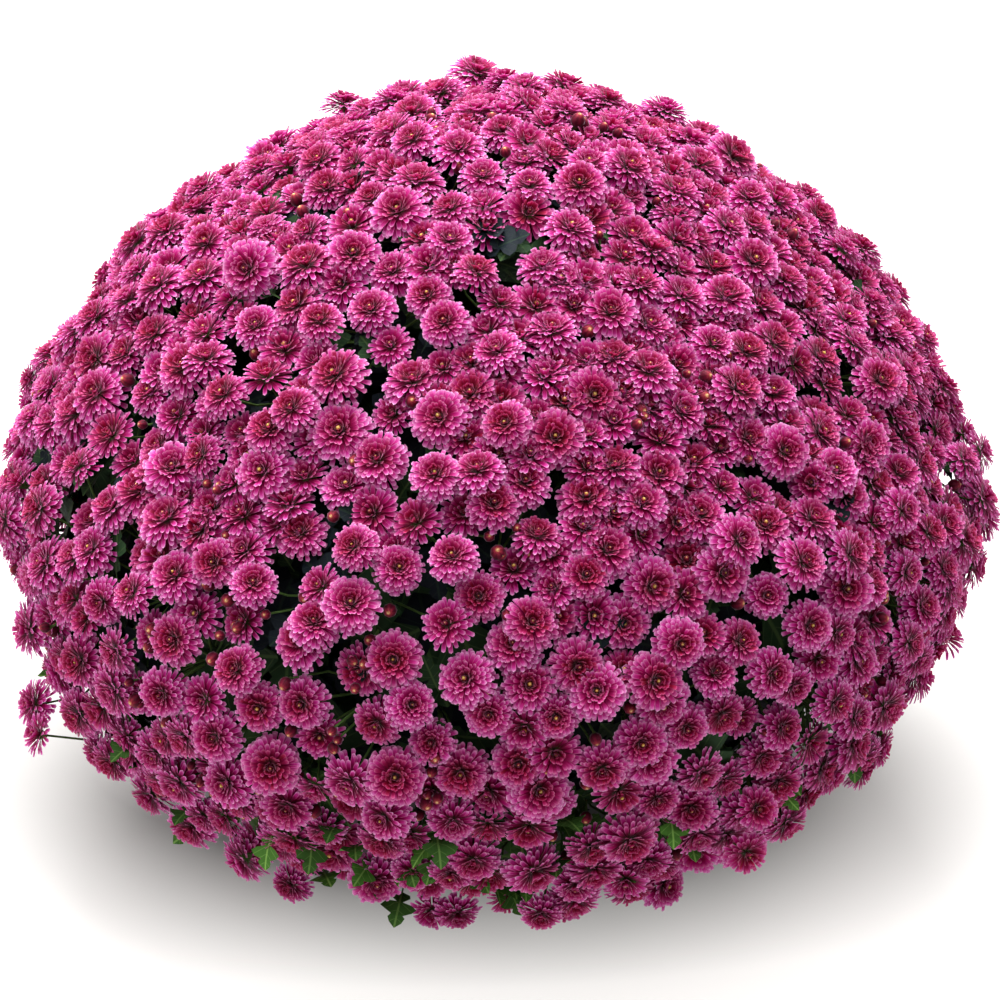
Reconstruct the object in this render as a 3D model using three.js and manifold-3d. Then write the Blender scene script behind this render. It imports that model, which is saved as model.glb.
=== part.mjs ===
// A potted chrysanthemum, grown as one ball-shaped mound of double blooms over a plain pot.
// Millimetres, +Z up. The origin is the middle of the pot's base, on the surface it stands on.
//
// The mound is a top bunch of blooms on the leader and six side bunches round it, each on a main
// branch of its own. The blooms are raised from the face of their bunch. An open bloom is a level
// star: a folded petal runs from its middle towards every neighbour, with deep notches between the
// petals and a deep furrow round the bloom. Its petals reach over the rear blooms, which are small,
// lower and still closed. A few places hold a bud in a gap instead. Under the blooms a bunch narrows
// to the end of its branch.

import * as THREE from "three";
import { ConvexHull } from "three/addons/math/ConvexHull.js";
import { mergeVertices } from "three/addons/utils/BufferGeometryUtils.js";
import Module from "manifold-3d";

const wasm = await Module();
wasm.setup();

// ---------------------------------------------------------------- driving dimensions

const GAP = 0.3; // air between two pieces that rest on each other
const TURN = 2 * Math.PI;
const GOLDEN_ANGLE = Math.PI * (3 - Math.sqrt(5));

// the mound, measured to the tops of the blooms
const WIDE_RADIUS = 314;
const WIDE_Z = 250;
const TOP_Z = 512;
const SHOULDER_POWER = 1.6; // 2 would be an ellipse, less is more pointed
const RIM_RADIUS = 238; // the lowest blooms, which curve in under the mound
const RIM_Z = 76;
const GUARD_DROP = 26; // the lowest blooms end this far below the rim
const GUARD_INSET = 15;
const GUARDS = 52;
const LOBE = 0.02; // the mound is a little wider on one diagonal
const LOBE_ANGLE = Math.PI / 4;
const LEAN = 0.02; // and its skirt reaches out further on one side
const LEAN_ANGLE = (225 * Math.PI) / 180;

// the blooms
const BLOOM_SITES = 870;
const SITE_JITTER = 0.2; // of the spacing between two blooms
const BLOOM_LIFT = 3.5; // a bloom stands up to this much proud of its bunch, or behind it
const BUNCH_LIFT = 4;
const PETAL_DROP = 3; // from the middle of an open bloom to its petals' tips
const PETAL_REACH = 0.44; // of the way to an open neighbour
const PETAL_OVERHANG = 0.56; // of the way to a rear neighbour
const NOTCH_DROP = 15; // to the notch where three blooms meet
const REAR_DROP = 8; // a rear bloom's middle is this much lower
const BUD_GAPS = 0.2; // share of the rear places that hold a bud in a gap
const GAP_DROP = 18;
const BUNCH_PARTING = 0.5; // each bunch keeps this much back from its neighbour
const CLEAR_STEPS = 40; // tries at a way that leads off all the walls round a point
const CLEAR_ENOUGH = 0.5; // how squarely it should leave the nearest wall
const CLEAR_LEAST = 0.12; // with less than this the point stays where it is
const BUNCH_EDGE = 52; // depth of a bunch at its edge
const BUNCH_DEPTH = 100; // and in the middle, where its branch ends
const HOOP_STEP = 4; // outer points of a bunch's edge to one inner point

// the bunches, in rings from the top down, each ring with its share of the mound's face
const RINGS = [
  { name: "bunch_top", count: 1, share: 0.19 },
  { name: "bunch_side", count: 6, share: 0.81 },
];

// the buds
const BUD_RADIUS = 5;
const BUD_RISE = 9; // from the gap to the middle of the bud
const BUD_TOP = 15; // and to its point
const STALK_RADIUS = 2;

// the pot and its soil
const POT_HEIGHT = 172;
const POT_BASE_RADIUS = 82;
const POT_TOP_RADIUS = 108;
const POT_WALL = 2.5;
const POT_FLOOR = 3;
const POT_BAND = 24; // the band round the rim
const POT_BAND_PROUD = 3.5;
const POT_EDGE = 1.5; // the small slopes at the band's edges
const POT_FOOT = 3; // the slope round the foot
const POT_SIDES = 24;
const DRAINS = 4;
const DRAIN_RADIUS = 6;
const DRAIN_CIRCLE = 52;
const DRAIN_SIDES = 6;
const SOIL_BELOW_RIM = 16;
const SOIL_MOUND = 7;
const SOIL_SHOULDER = 0.6; // where the mound of soil flattens out, as a share of its radius

// the woody crown
const TRUNK_RADIUS = 11;
const TRUNK_SUNK = 60;
const KNOB_RADIUS = 17;
const KNOB_LOW = 6; // above the soil
const KNOB_FLARE = 7; // the slope up to the flats
const KNOB_BAND = 12; // the flats that the branches start from
const KNOB_HEIGHT = 40;
const BRANCHES = 6;

// the stems and leaves
const BRANCH_RADIUS = 4.5;
const BRANCH_SIDES = 4;
const BRANCH_LEVEL = 14; // a branch leaves the crown level for this far
const SHOOT_RADIUS = 3; // a branch's radius where it meets its bunch
const SEAT_LENGTH = 14; // straight stretch before a bunch
const TWIG_RADIUS = 2.2;
const TWIG_TIP_RADIUS = 1.5;
const TWIG_SIDES = 3;
const TWIG_START = 0.5; // how far out a branch bears its leafy twig
const SIDE_SHOOT = { start: 0.72, turn: 0.2, radius: 150, z: 284 };
const LEADER_RISE = 40; // it goes straight up this far
const LEADER_SIDES = 6;
const LEADER_SHOOTS = 3;
const LEADER_FORK = 0.4; // how far up the leader its side shoots start
const LEADER_SPREAD = 96;
const LEADER_SHORT = 12; // its side shoots end this far below its own end
const TWIG_END = { radius: 168, z: 108 };
const TWIG_LEAVES = [
  // place back from the twig's end, turn, fall and size
  [0, 0, -0.8, 1],
  [0.22, 0.9, -0.5, 0.9],
  [0.42, -0.9, -0.5, 0.9],
  [0.64, 0.6, -0.9, 0.8],
];
const LEAF_LENGTH = 52;
const LEAF_WIDTH = 38;
const LEAF_THICKNESS = 0.8;
const LEAF_ROOT = 5; // how far a leaf's foot is sunk in its twig
const LEAF_FOLD = 0.16; // how far its halves rise from the rib, as a share of its length
const LEAF_ARCH = 0.22; // how far its tip falls

// ---------------------------------------------------------------- materials

function petalMaterial() {
  return new THREE.MeshStandardMaterial({ color: 0xc0468c, roughness: 0.65, metalness: 0 });
}

function leafMaterial() {
  return new THREE.MeshStandardMaterial({ color: 0x3f6b2c, roughness: 0.6, metalness: 0 });
}

function woodMaterial() {
  return new THREE.MeshStandardMaterial({ color: 0x6b5137, roughness: 0.85, metalness: 0 });
}

function soilMaterial() {
  return new THREE.MeshStandardMaterial({ color: 0x2e2119, roughness: 1, metalness: 0 });
}

function potMaterial() {
  return new THREE.MeshStandardMaterial({ color: 0x23262a, roughness: 0.55, metalness: 0 });
}

// ---------------------------------------------------------------- small tools

// A seeded draw from 0 to 1, the same in every run.
let seed = 77;
function draw() {
  seed = (Math.imul(seed, 1664525) + 1013904223) >>> 0;
  return seed / 4294967296;
}

function polar(radius, angle, z) {
  return new THREE.Vector3(radius * Math.cos(angle), radius * Math.sin(angle), z);
}

function solidOf(points, triangles) {
  const vertProperties = new Float32Array(points.flatMap((point) => [point.x, point.y, point.z]));
  const triVerts = new Uint32Array(triangles.flat());
  const mesh = new wasm.Mesh({ numProp: 3, vertProperties, triVerts });
  return new wasm.Manifold(mesh);
}

function geometryOf(solid) {
  const mesh = solid.getMesh();
  const geometry = new THREE.BufferGeometry();
  geometry.setAttribute("position", new THREE.BufferAttribute(mesh.vertProperties, 3));
  geometry.setIndex(new THREE.BufferAttribute(mesh.triVerts, 1));
  geometry.computeVertexNormals();
  return geometry;
}

function joined(solids) {
  return solids.reduce((whole, next) => whole.add(next));
}

// A turned solid from [radius, height] pairs that start and end on the axis.
function turned(profile, sides, startAngle = 0) {
  const outline = profile.map(([radius, height]) => new THREE.Vector2(radius, height));
  const lathe = new THREE.LatheGeometry(outline, sides, startAngle);
  lathe.deleteAttribute("normal");
  lathe.deleteAttribute("uv");
  lathe.rotateX(Math.PI / 2);
  const merged = mergeVertices(lathe, 1e-4);
  const position = merged.getAttribute("position");
  const index = merged.getIndex();
  const points = [];
  for (let i = 0; i < position.count; i += 1) {
    points.push(new THREE.Vector3().fromBufferAttribute(position, i));
  }
  const triangles = [];
  for (let i = 0; i < index.count; i += 3) {
    const [a, b, c] = [index.getX(i), index.getX(i + 1), index.getX(i + 2)];
    if (a !== b && b !== c && c !== a) {
      triangles.push([a, b, c]);
    }
  }
  return solidOf(points, triangles);
}

// A stem through a few points, round which each cut has a few corners.
function stem(path, startRadius, endRadius, sides) {
  const points = [];
  const triangles = [];
  const last = path.length - 1;
  path.forEach((point, step) => {
    const before = path[Math.max(step - 1, 0)];
    const after = path[Math.min(step + 1, last)];
    const along = after.clone().sub(before).normalize();
    const side = new THREE.Vector3(-along.y, along.x, 0);
    if (side.length() < 0.1) {
      side.set(1, 0, 0);
    }
    side.normalize();
    const other = along.clone().cross(side);
    const radius = startRadius + ((endRadius - startRadius) * step) / last;
    for (let k = 0; k < sides; k += 1) {
      const angle = (TURN * k) / sides;
      const corner = point.clone();
      corner.addScaledVector(side, radius * Math.cos(angle));
      corner.addScaledVector(other, radius * Math.sin(angle));
      points.push(corner);
    }
  });
  for (let step = 0; step < last; step += 1) {
    for (let k = 0; k < sides; k += 1) {
      const a = step * sides + k;
      const b = step * sides + ((k + 1) % sides);
      triangles.push([a, b, b + sides], [a, b + sides, a + sides]);
    }
  }
  for (let k = 1; k < sides - 1; k += 1) {
    triangles.push([0, k + 1, k], [last * sides, last * sides + k, last * sides + k + 1]);
  }
  return solidOf(points, triangles);
}

// ---------------------------------------------------------------- the mound's form

// The outline from the top to the rim, as radius, height and the area above it.
function moundOutline() {
  const upperSteps = 240;
  const lowerSteps = 80;
  const outline = [];
  for (let i = 0; i <= upperSteps; i += 1) {
    const angle = (Math.PI / 2) * (1 - i / upperSteps);
    const radius = WIDE_RADIUS * Math.max(Math.cos(angle), 0) ** (2 / SHOULDER_POWER);
    const z = WIDE_Z + (TOP_Z - WIDE_Z) * Math.max(Math.sin(angle), 0) ** (2 / SHOULDER_POWER);
    outline.push({ radius, z });
  }
  for (let i = 1; i <= lowerSteps; i += 1) {
    const share = i / lowerSteps;
    const radius = WIDE_RADIUS - (WIDE_RADIUS - RIM_RADIUS) * share ** 2;
    outline.push({ radius, z: WIDE_Z - (WIDE_Z - RIM_Z) * share });
  }
  let area = 0;
  outline.forEach((point, i) => {
    const before = outline[Math.max(i - 1, 0)];
    const length = Math.hypot(point.radius - before.radius, point.z - before.z);
    area += Math.PI * (point.radius + before.radius) * length;
    point.area = area;
  });
  return outline;
}

const OUTLINE = moundOutline();
const MOUND_AREA = OUTLINE[OUTLINE.length - 1].area;
const SPACING = Math.sqrt(MOUND_AREA / BLOOM_SITES);

// The outline at a share of the mound's area, with its outward normal.
function outlineAt(share) {
  const area = Math.min(Math.max(share, 0), 1) * MOUND_AREA;
  let i = 1;
  while (i < OUTLINE.length - 1 && OUTLINE[i].area < area) {
    i += 1;
  }
  const low = OUTLINE[i - 1];
  const high = OUTLINE[i];
  const part = (area - low.area) / (high.area - low.area);
  const along = new THREE.Vector2(high.radius - low.radius, high.z - low.z).normalize();
  return {
    radius: low.radius + (high.radius - low.radius) * part,
    z: low.z + (high.z - low.z) * part,
    normalRadius: -along.y,
    normalZ: along.x,
  };
}

// How far the mound reaches out at an angle, as a factor on its radius.
function reach(angle, z) {
  const lowness = Math.min(Math.max((TOP_Z - z) / (TOP_Z - RIM_Z), 0), 1);
  const lobe = LOBE * Math.cos(2 * (angle - LOBE_ANGLE));
  return 1 + lobe + LEAN * lowness * Math.cos(angle - LEAN_ANGLE);
}

// Which bunch a place belongs to: its ring by area, and its sector by angle.
const BUNCH_COUNT = RINGS.reduce((sum, ring) => sum + ring.count, 0);
function bunchAt(share, angle) {
  let first = 0;
  let above = 0;
  let ring = RINGS[0];
  for (let i = 1; i < RINGS.length && share > above + ring.share; i += 1) {
    first += ring.count;
    above += ring.share;
    ring = RINGS[i];
  }
  const sector = Math.round((angle / TURN) * ring.count) % ring.count;
  return first + ((sector + ring.count) % ring.count);
}

// Every bloom's place, on a golden-angle spiral over the mound, moved a little at random.
function bloomSites() {
  const bunchLift = [];
  for (let i = 0; i < BUNCH_COUNT; i += 1) {
    bunchLift.push(BUNCH_LIFT * (2 * draw() - 1));
  }
  const sites = [];
  for (let i = 0; i < BLOOM_SITES; i += 1) {
    const evenShare = (i + 0.5) / BLOOM_SITES;
    const evenRadius = outlineAt(evenShare).radius;
    const slide = SITE_JITTER * SPACING * (2 * draw() - 1);
    const swing = SITE_JITTER * SPACING * (2 * draw() - 1);
    const share = Math.min(Math.max(evenShare + (slide * TURN * evenRadius) / MOUND_AREA, 0), 1);
    const angle = (i * GOLDEN_ANGLE + swing / Math.max(evenRadius, SPACING)) % TURN;
    const place = outlineAt(share);
    const bunch = bunchAt(share, angle);
    const lift = bunchLift[bunch] + BLOOM_LIFT * (2 * draw() - 1);
    const gap = draw() < BUD_GAPS;
    const normal = polar(place.normalRadius, angle, place.normalZ);
    const base = polar(place.radius * reach(angle, place.z), angle, place.z);
    base.addScaledVector(normal, lift);
    sites.push({ base, normal, bunch, gap, rear: false });
  }
  return sites;
}

// ---------------------------------------------------------------- bunches of blooms

// The patches of three neighbouring blooms, from the hull of the places seen from the middle.
function neighbourPatches(sites) {
  const middle = new THREE.Vector3(0, 0, WIDE_Z);
  const rays = sites.map((site) => site.base.clone().sub(middle).normalize());
  rays.forEach((ray, i) => {
    ray.site = i;
  });
  for (let i = 0; i < GUARDS; i += 1) {
    const angle = (TURN * i) / GUARDS;
    const z = RIM_Z - GUARD_DROP;
    const guard = polar((RIM_RADIUS - GUARD_INSET) * reach(angle, z), angle, z);
    const ray = guard.clone().sub(middle).normalize();
    ray.site = sites.length;
    rays.push(ray);
    const normal = polar(1, angle, -1).normalize();
    sites.push({ base: guard, normal, bunch: -1, rear: false });
  }
  const underside = new THREE.Vector3(0, 0, -1);
  underside.site = -1;
  rays.push(underside);
  const hull = new ConvexHull().setFromPoints(rays);
  const patches = [];
  hull.faces.forEach((face) => {
    const patch = [0, 1, 2].map((i) => face.getEdge(i).head().point.site);
    if (patch.every((site) => site >= 0)) {
      patches.push(patch);
    }
  });
  return patches;
}

// A point at the middle of some places, sunk below the mound's face.
function between(sites, drop) {
  const point = new THREE.Vector3();
  const normal = new THREE.Vector3();
  sites.forEach((site) => {
    point.add(site.base);
    normal.add(site.normal);
  });
  point.divideScalar(sites.length);
  return point.addScaledVector(normal.normalize(), -drop);
}

// The neighbours of every place, in order round it, with the patch that follows each of them.
function neighbourRings(sites, patches) {
  const following = sites.map(() => new Map());
  patches.forEach((patch, number) => {
    patch.forEach((own, i) => {
      following[own].set(patch[(i + 1) % 3], { after: patch[(i + 2) % 3], patch: number });
    });
  });
  return following.map((steps, own) => {
    const ring = [];
    let neighbour = sites[own].bunch < 0 ? undefined : steps.keys().next().value;
    while (neighbour !== undefined && ring.length < steps.size) {
      const { after, patch } = steps.get(neighbour);
      ring.push({ neighbour, patch });
      neighbour = after;
    }
    return ring;
  });
}

// Gives a bloom that stands alone among another bunch's blooms to that bunch.
function adoptStrays(sites, rings) {
  sites.forEach((site, own) => {
    const around = rings[own].map((step) => sites[step.neighbour].bunch);
    if (site.bunch < 0 || around.filter((bunch) => bunch === site.bunch).length > 1) {
      return;
    }
    const others = around.filter((bunch) => bunch >= 0 && bunch !== site.bunch);
    const shares = others.map((bunch) => others.filter((other) => other === bunch).length);
    site.bunch = others[shares.indexOf(Math.max(...shares))];
  });
}

// Marks the rear blooms: as many as there can be without two of them side by side.
function chooseRearBlooms(sites, rings) {
  sites.forEach((site, own) => {
    site.rear = rings[own].length > 0 && rings[own].every((step) => !sites[step.neighbour].rear);
  });
}

const notchName = (patch) => `notch ${patch}`;

// An open bloom: three faces for each petal, two on top and one down its end.
function openBloom(own, ring, sites, points) {
  const site = sites[own];
  const middle = `middle ${own}`;
  points.set(middle, { place: site.base.clone() });
  return ring.flatMap((step, i) => {
    const before = ring[(i + ring.length - 1) % ring.length];
    const other = sites[step.neighbour];
    const way = other.base.clone().sub(site.base).projectOnPlane(site.normal);
    const tip = `tip ${own} ${step.neighbour}`;
    const place = site.base.clone().addScaledVector(way, other.rear ? PETAL_OVERHANG : PETAL_REACH);
    points.set(tip, { place: place.addScaledVector(site.normal, -PETAL_DROP) });
    const [left, right] = [notchName(before.patch), notchName(step.patch)];
    return [[middle, tip, right], [middle, left, tip], [tip, left, right]];
  });
}

// A rear bloom: a low point with one face towards each neighbour.
function rearBloom(own, ring, sites, points) {
  const middle = `middle ${own}`;
  points.set(middle, { place: between([sites[own]], REAR_DROP) });
  return ring.map((step, i) => {
    const before = ring[(i + ring.length - 1) % ring.length];
    return [middle, notchName(before.patch), notchName(step.patch)];
  });
}

// A gap with a bud in it: a three-sided stalk widens to the bud and closes in a point.
function buddedGap(own, ring, sites, points) {
  const { normal } = sites[own];
  const foot = between([sites[own]], GAP_DROP);
  const wayTo = (i) => points.get(notchName(ring[i % ring.length].patch)).place.clone().sub(foot);
  const forward = wayTo(0).projectOnPlane(normal).normalize();
  const across = normal.clone().cross(forward);
  const corner = (i) => {
    const angle = Math.atan2(wayTo(i).dot(across), wayTo(i).dot(forward));
    return (Math.round((3 * angle) / TURN) + 3) % 3;
  };
  const around = (k, radius) => {
    const angle = (TURN * k) / 3;
    const point = foot.clone().addScaledVector(forward, radius * Math.cos(angle));
    return point.addScaledVector(across, radius * Math.sin(angle));
  };
  const stalk = (k) => `stalk ${own} ${k % 3}`;
  const side = (k) => `side ${own} ${k % 3}`;
  const top = `top ${own}`;
  points.set(top, { place: foot.clone().addScaledVector(normal, BUD_TOP) });
  const faces = [];
  for (let k = 0; k < 3; k += 1) {
    points.set(stalk(k), { place: around(k, STALK_RADIUS) });
    points.set(side(k), { place: around(k, BUD_RADIUS).addScaledVector(normal, BUD_RISE) });
    faces.push([stalk(k), stalk(k + 1), side(k + 1)], [stalk(k), side(k + 1), side(k)]);
    faces.push([side(k), side(k + 1), top]);
  }
  ring.forEach((step, i) => {
    const next = ring[(i + 1) % ring.length];
    const [left, right] = [notchName(step.patch), notchName(next.patch)];
    faces.push([stalk(corner(i)), left, right]);
    for (let k = corner(i); k !== corner(i + 1); k = (k + 1) % 3) {
      faces.push([stalk(k), right, stalk(k + 1)]);
    }
  });
  return faces;
}

// The faces of every bunch, and the steps of its edge from notch to notch with the bunch on the left.
function bunchFaces(sites, patches, rings) {
  const points = new Map();
  patches.forEach((patch, number) => {
    const corners = patch.map((i) => sites[i]);
    const junction = new Set(corners.map((site) => site.bunch)).size === 3;
    const place = between(corners, NOTCH_DROP);
    points.set(notchName(number), { place, inner: between(corners, BUNCH_EDGE), junction });
  });
  const bunches = Array.from({ length: BUNCH_COUNT }, () => ({ faces: [], edge: [] }));
  rings.forEach((ring, own) => {
    if (ring.length === 0) {
      return;
    }
    const bunch = bunches[sites[own].bunch];
    const closed = sites[own].gap ? buddedGap : rearBloom;
    const build = sites[own].rear ? closed : openBloom;
    bunch.faces.push(...build(own, ring, sites, points));
    ring.forEach((step, i) => {
      const before = ring[(i + ring.length - 1) % ring.length];
      if (sites[step.neighbour].bunch !== sites[own].bunch) {
        bunch.edge.push({ from: notchName(before.patch), to: notchName(step.patch) });
      }
    });
  });
  return { points, bunches };
}

// The stretches of a bunch's edge, each along one neighbour, from one junction to the next.
function edgeStretches(bunch, points) {
  const following = new Map(bunch.edge.map((step) => [step.from, step]));
  const starts = bunch.edge.filter((step) => points.get(step.from).junction);
  return starts.map((start) => {
    const names = [start.from];
    let step = start;
    while (step !== undefined) {
      names.push(step.to);
      step = points.get(step.to).junction ? undefined : following.get(step.to);
    }
    return names;
  });
}

// The walls of a bunch: every stretch of its edge runs down to a few inner points below it. Both
// bunches along a stretch share the same inner points, so their walls follow each other.
function bunchWalls(bunch, points) {
  const walls = [];
  const hoop = [];
  edgeStretches(bunch, points).forEach((names) => {
    const reversed = names[0] > names[names.length - 1];
    const ordered = reversed ? [...names].reverse() : names;
    const last = ordered.length - 1;
    const count = Math.max(1, Math.round(last / HOOP_STEP));
    const innerOf = (i) => {
      const nearest = Math.round((i * count) / last);
      return `inner ${ordered[Math.round((nearest * last) / count)]}`;
    };
    for (let i = 0; i < last; i += 1) {
      const [a, b] = [ordered[i], ordered[i + 1]];
      const [low, high] = [innerOf(i), innerOf(i + 1)];
      const faces = low === high ? [[a, low, b]] : [[a, low, b], [b, low, high]];
      faces.forEach((face) => walls.push(reversed ? [...face].reverse() : face));
      if (low !== high) {
        hoop.push(reversed ? [high, low] : [low, high]);
      }
    }
  });
  return { walls, hoop };
}

// The end of the branch: behind the middle of the bunch.
function branchEnd(members) {
  const face = new THREE.Vector3();
  const normal = new THREE.Vector3();
  members.forEach((site) => {
    face.add(site.base);
    normal.add(site.normal);
  });
  face.divideScalar(members.length);
  normal.normalize();
  return { tip: face.addScaledVector(normal, -BUNCH_DEPTH), normal };
}

// The way that leads off all the walls round a point at once, or none where they turn too sharply.
function clearWay(inwards) {
  const way = new THREE.Vector3();
  inwards.forEach((facing) => way.add(facing));
  way.normalize();
  const worse = (one, other) => (other.dot(way) < one.dot(way) ? other : one);
  const least = () => inwards.reduce(worse);
  for (let i = 0; i < CLEAR_STEPS && least().dot(way) < CLEAR_ENOUGH; i += 1) {
    way.addScaledVector(least(), 0.25).normalize();
  }
  return least().dot(way) > CLEAR_LEAST ? way : way.set(0, 0, 0);
}

// A whole bunch, with its edge drawn back a little from its neighbours.
function bunchSolid(bunch, points, end) {
  const { walls, hoop } = bunchWalls(bunch, points);
  const faces = [...bunch.faces, ...walls, ...hoop.map(([low, high]) => ["end", high, low])];
  const places = new Map();
  faces.flat().forEach((name) => {
    const inner = name.startsWith("inner ");
    const point = inner ? points.get(name.slice("inner ".length)).inner : points.get(name)?.place;
    places.set(name, (point ?? end.tip).clone());
  });
  const facings = new Map();
  walls.forEach((face) => {
    const [a, b, c] = face.map((name) => places.get(name));
    const inwards = c.clone().sub(a).cross(b.clone().sub(a)).normalize();
    face.forEach((name) => facings.set(name, [...(facings.get(name) ?? []), inwards]));
  });
  facings.forEach((ways, name) => places.get(name).addScaledVector(clearWay(ways), BUNCH_PARTING));
  const order = [...places.keys()];
  const number = new Map(order.map((name, i) => [name, i]));
  const triangles = faces.map((face) => face.map((name) => number.get(name)));
  return solidOf(order.map((name) => places.get(name)), triangles);
}

// ---------------------------------------------------------------- stems and leaves

// Half of a lobed leaf's edge, from its foot to its tip, as shares of its length and half width.
const LEAF_EDGE = [
  [0, 0],
  [0.36, 0.86],
  [0.5, 0.34],
  [0.72, 1],
  [0.78, 0.36],
  [1, 0],
];

// A lobed blade folded along its rib. Its foot is at the given point.
function leaf(foot, along, up, size) {
  const side = up.clone().cross(along).normalize();
  const over = along.clone().cross(side).normalize();
  const place = (share, width, level) => {
    const point = foot.clone();
    point.addScaledVector(along, (share * LEAF_LENGTH - LEAF_ROOT) * size);
    point.addScaledVector(side, ((width * LEAF_WIDTH) / 2) * size);
    const lift = LEAF_FOLD * Math.abs(width) - LEAF_ARCH * share ** 2;
    return point.addScaledVector(over, lift * LEAF_LENGTH * size + level);
  };
  const right = LEAF_EDGE.slice(1, -1).reverse();
  const edge = [...LEAF_EDGE, ...right.map(([share, width]) => [share, -width])];
  const count = edge.length;
  const points = [];
  [LEAF_THICKNESS / 2, -LEAF_THICKNESS / 2].forEach((level) => {
    edge.forEach(([share, width]) => points.push(place(share, width, level)));
  });
  const tip = LEAF_EDGE.length - 1;
  const half = [
    [0, 1, 2],
    [0, 2, tip],
    [2, 3, 4],
    [2, 4, tip],
  ];
  const mirrored = (i) => (i === 0 || i === tip ? i : count - i);
  const top = [];
  half.forEach(([a, b, c]) => {
    top.push([a, c, b]);
    top.push([mirrored(a), mirrored(b), mirrored(c)]);
  });
  const triangles = [];
  top.forEach(([a, b, c]) => {
    triangles.push([a, b, c], [a + count, c + count, b + count]);
  });
  for (let i = 0; i < count; i += 1) {
    const j = (i + 1) % count;
    triangles.push([i, j, j + count], [i, j + count, i + count]);
  }
  return solidOf(points, triangles);
}

// The last stretch of a branch: it comes up straight behind its bunch and stops just short of it.
function seatPath(end) {
  const seat = end.tip.clone().addScaledVector(end.normal, -GAP);
  const bend = end.tip.clone().addScaledVector(end.normal, -SEAT_LENGTH);
  return [bend, seat];
}

function twig(start, end) {
  return stem([start, end], TWIG_RADIUS, TWIG_TIP_RADIUS, TWIG_SIDES);
}

// One main branch: out from the crown to its bunch, with a side shoot and a leafy twig.
function leafyBranch(number, end) {
  const angle = (TURN * number) / BRANCHES;
  const start = polar(KNOB_RADIUS * Math.cos(Math.PI / BRANCHES) + GAP, angle, BRANCH_START_Z);
  const out = polar(KNOB_RADIUS + BRANCH_LEVEL, angle, BRANCH_START_Z);
  const [bend, seat] = seatPath(end);
  const pieces = [stem([start, out, bend, seat], BRANCH_RADIUS, SHOOT_RADIUS, BRANCH_SIDES)];
  const sideStart = out.clone().lerp(bend, SIDE_SHOOT.start);
  const sideEnd = polar(SIDE_SHOOT.radius, angle + SIDE_SHOOT.turn, SIDE_SHOOT.z);
  pieces.push(twig(sideStart, sideEnd));
  const fork = out.clone().lerp(bend, TWIG_START);
  const twigEnd = polar(TWIG_END.radius * reach(angle, TWIG_END.z), angle, TWIG_END.z);
  pieces.push(twig(fork, twigEnd));
  const up = new THREE.Vector3(0, 0, 1);
  TWIG_LEAVES.forEach(([back, turn, fall, size]) => {
    const foot = twigEnd.clone().lerp(fork, back);
    const along = polar(1, angle + turn, fall).normalize();
    pieces.push(leaf(foot, along, up, size));
  });
  return joined(pieces);
}

// The leader: straight up from the crown to the top bunch, with a few side shoots.
function leader(end) {
  const foot = new THREE.Vector3(0, 0, CROWN_TOP + GAP);
  const above = foot.clone().setZ(CROWN_TOP + LEADER_RISE);
  const path = [foot, above, ...seatPath(end)];
  const pieces = [stem(path, BRANCH_RADIUS, SHOOT_RADIUS, LEADER_SIDES)];
  const fork = above.clone().lerp(end.tip, LEADER_FORK);
  for (let k = 0; k < LEADER_SHOOTS; k += 1) {
    const angle = (TURN * (k + 0.5)) / LEADER_SHOOTS;
    pieces.push(twig(fork, polar(LEADER_SPREAD, angle, end.tip.z - LEADER_SHORT)));
  }
  return joined(pieces);
}

// ---------------------------------------------------------------- pot, soil and crown

const SOIL_TOP = POT_HEIGHT - SOIL_BELOW_RIM;

// The pot's inner wall at a height.
function innerRadius(z) {
  const share = z / POT_HEIGHT;
  return POT_BASE_RADIUS + (POT_TOP_RADIUS - POT_BASE_RADIUS) * share - POT_WALL;
}

function potSolid() {
  const bandLow = POT_HEIGHT - POT_BAND;
  const bandRadius = POT_TOP_RADIUS + POT_BAND_PROUD;
  const wallAt = (z) => innerRadius(z) + POT_WALL;
  const body = turned(
    [
      [0, 0],
      [POT_BASE_RADIUS - POT_FOOT, 0],
      [wallAt(POT_FOOT), POT_FOOT],
      [wallAt(bandLow), bandLow],
      [bandRadius - POT_EDGE, bandLow + POT_EDGE],
      [bandRadius, POT_HEIGHT - POT_EDGE],
      [bandRadius - POT_EDGE, POT_HEIGHT],
      [innerRadius(POT_HEIGHT), POT_HEIGHT],
      [innerRadius(POT_FLOOR), POT_FLOOR],
      [0, POT_FLOOR],
    ],
    POT_SIDES,
  );
  const drains = [];
  for (let i = 0; i < DRAINS; i += 1) {
    const hole = turned(
      [
        [0, -1],
        [DRAIN_RADIUS, -1],
        [DRAIN_RADIUS, POT_FLOOR + 1],
        [0, POT_FLOOR + 1],
      ],
      DRAIN_SIDES,
    );
    const middle = polar(DRAIN_CIRCLE, (TURN * i) / DRAINS, 0);
    drains.push(hole.translate([middle.x, middle.y, 0]));
  }
  return drains.reduce((pot, hole) => pot.subtract(hole), body);
}

function soilSolid() {
  const low = POT_FLOOR + GAP;
  const hole = TRUNK_RADIUS + 2 * GAP;
  return turned(
    [
      [0, low],
      [innerRadius(low) - GAP, low],
      [innerRadius(SOIL_TOP) - GAP, SOIL_TOP],
      [SOIL_SHOULDER * POT_TOP_RADIUS, SOIL_TOP + SOIL_SHOULDER * SOIL_MOUND],
      [hole, SOIL_TOP + SOIL_MOUND],
      [hole, SOIL_TOP - TRUNK_SUNK],
      [0, SOIL_TOP - TRUNK_SUNK],
    ],
    POT_SIDES,
  );
}

const CROWN_LOW = SOIL_TOP + SOIL_MOUND + KNOB_LOW;
const CROWN_TOP = CROWN_LOW + KNOB_HEIGHT;
const BRANCH_START_Z = CROWN_LOW + KNOB_FLARE + KNOB_BAND / 2;

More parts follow.
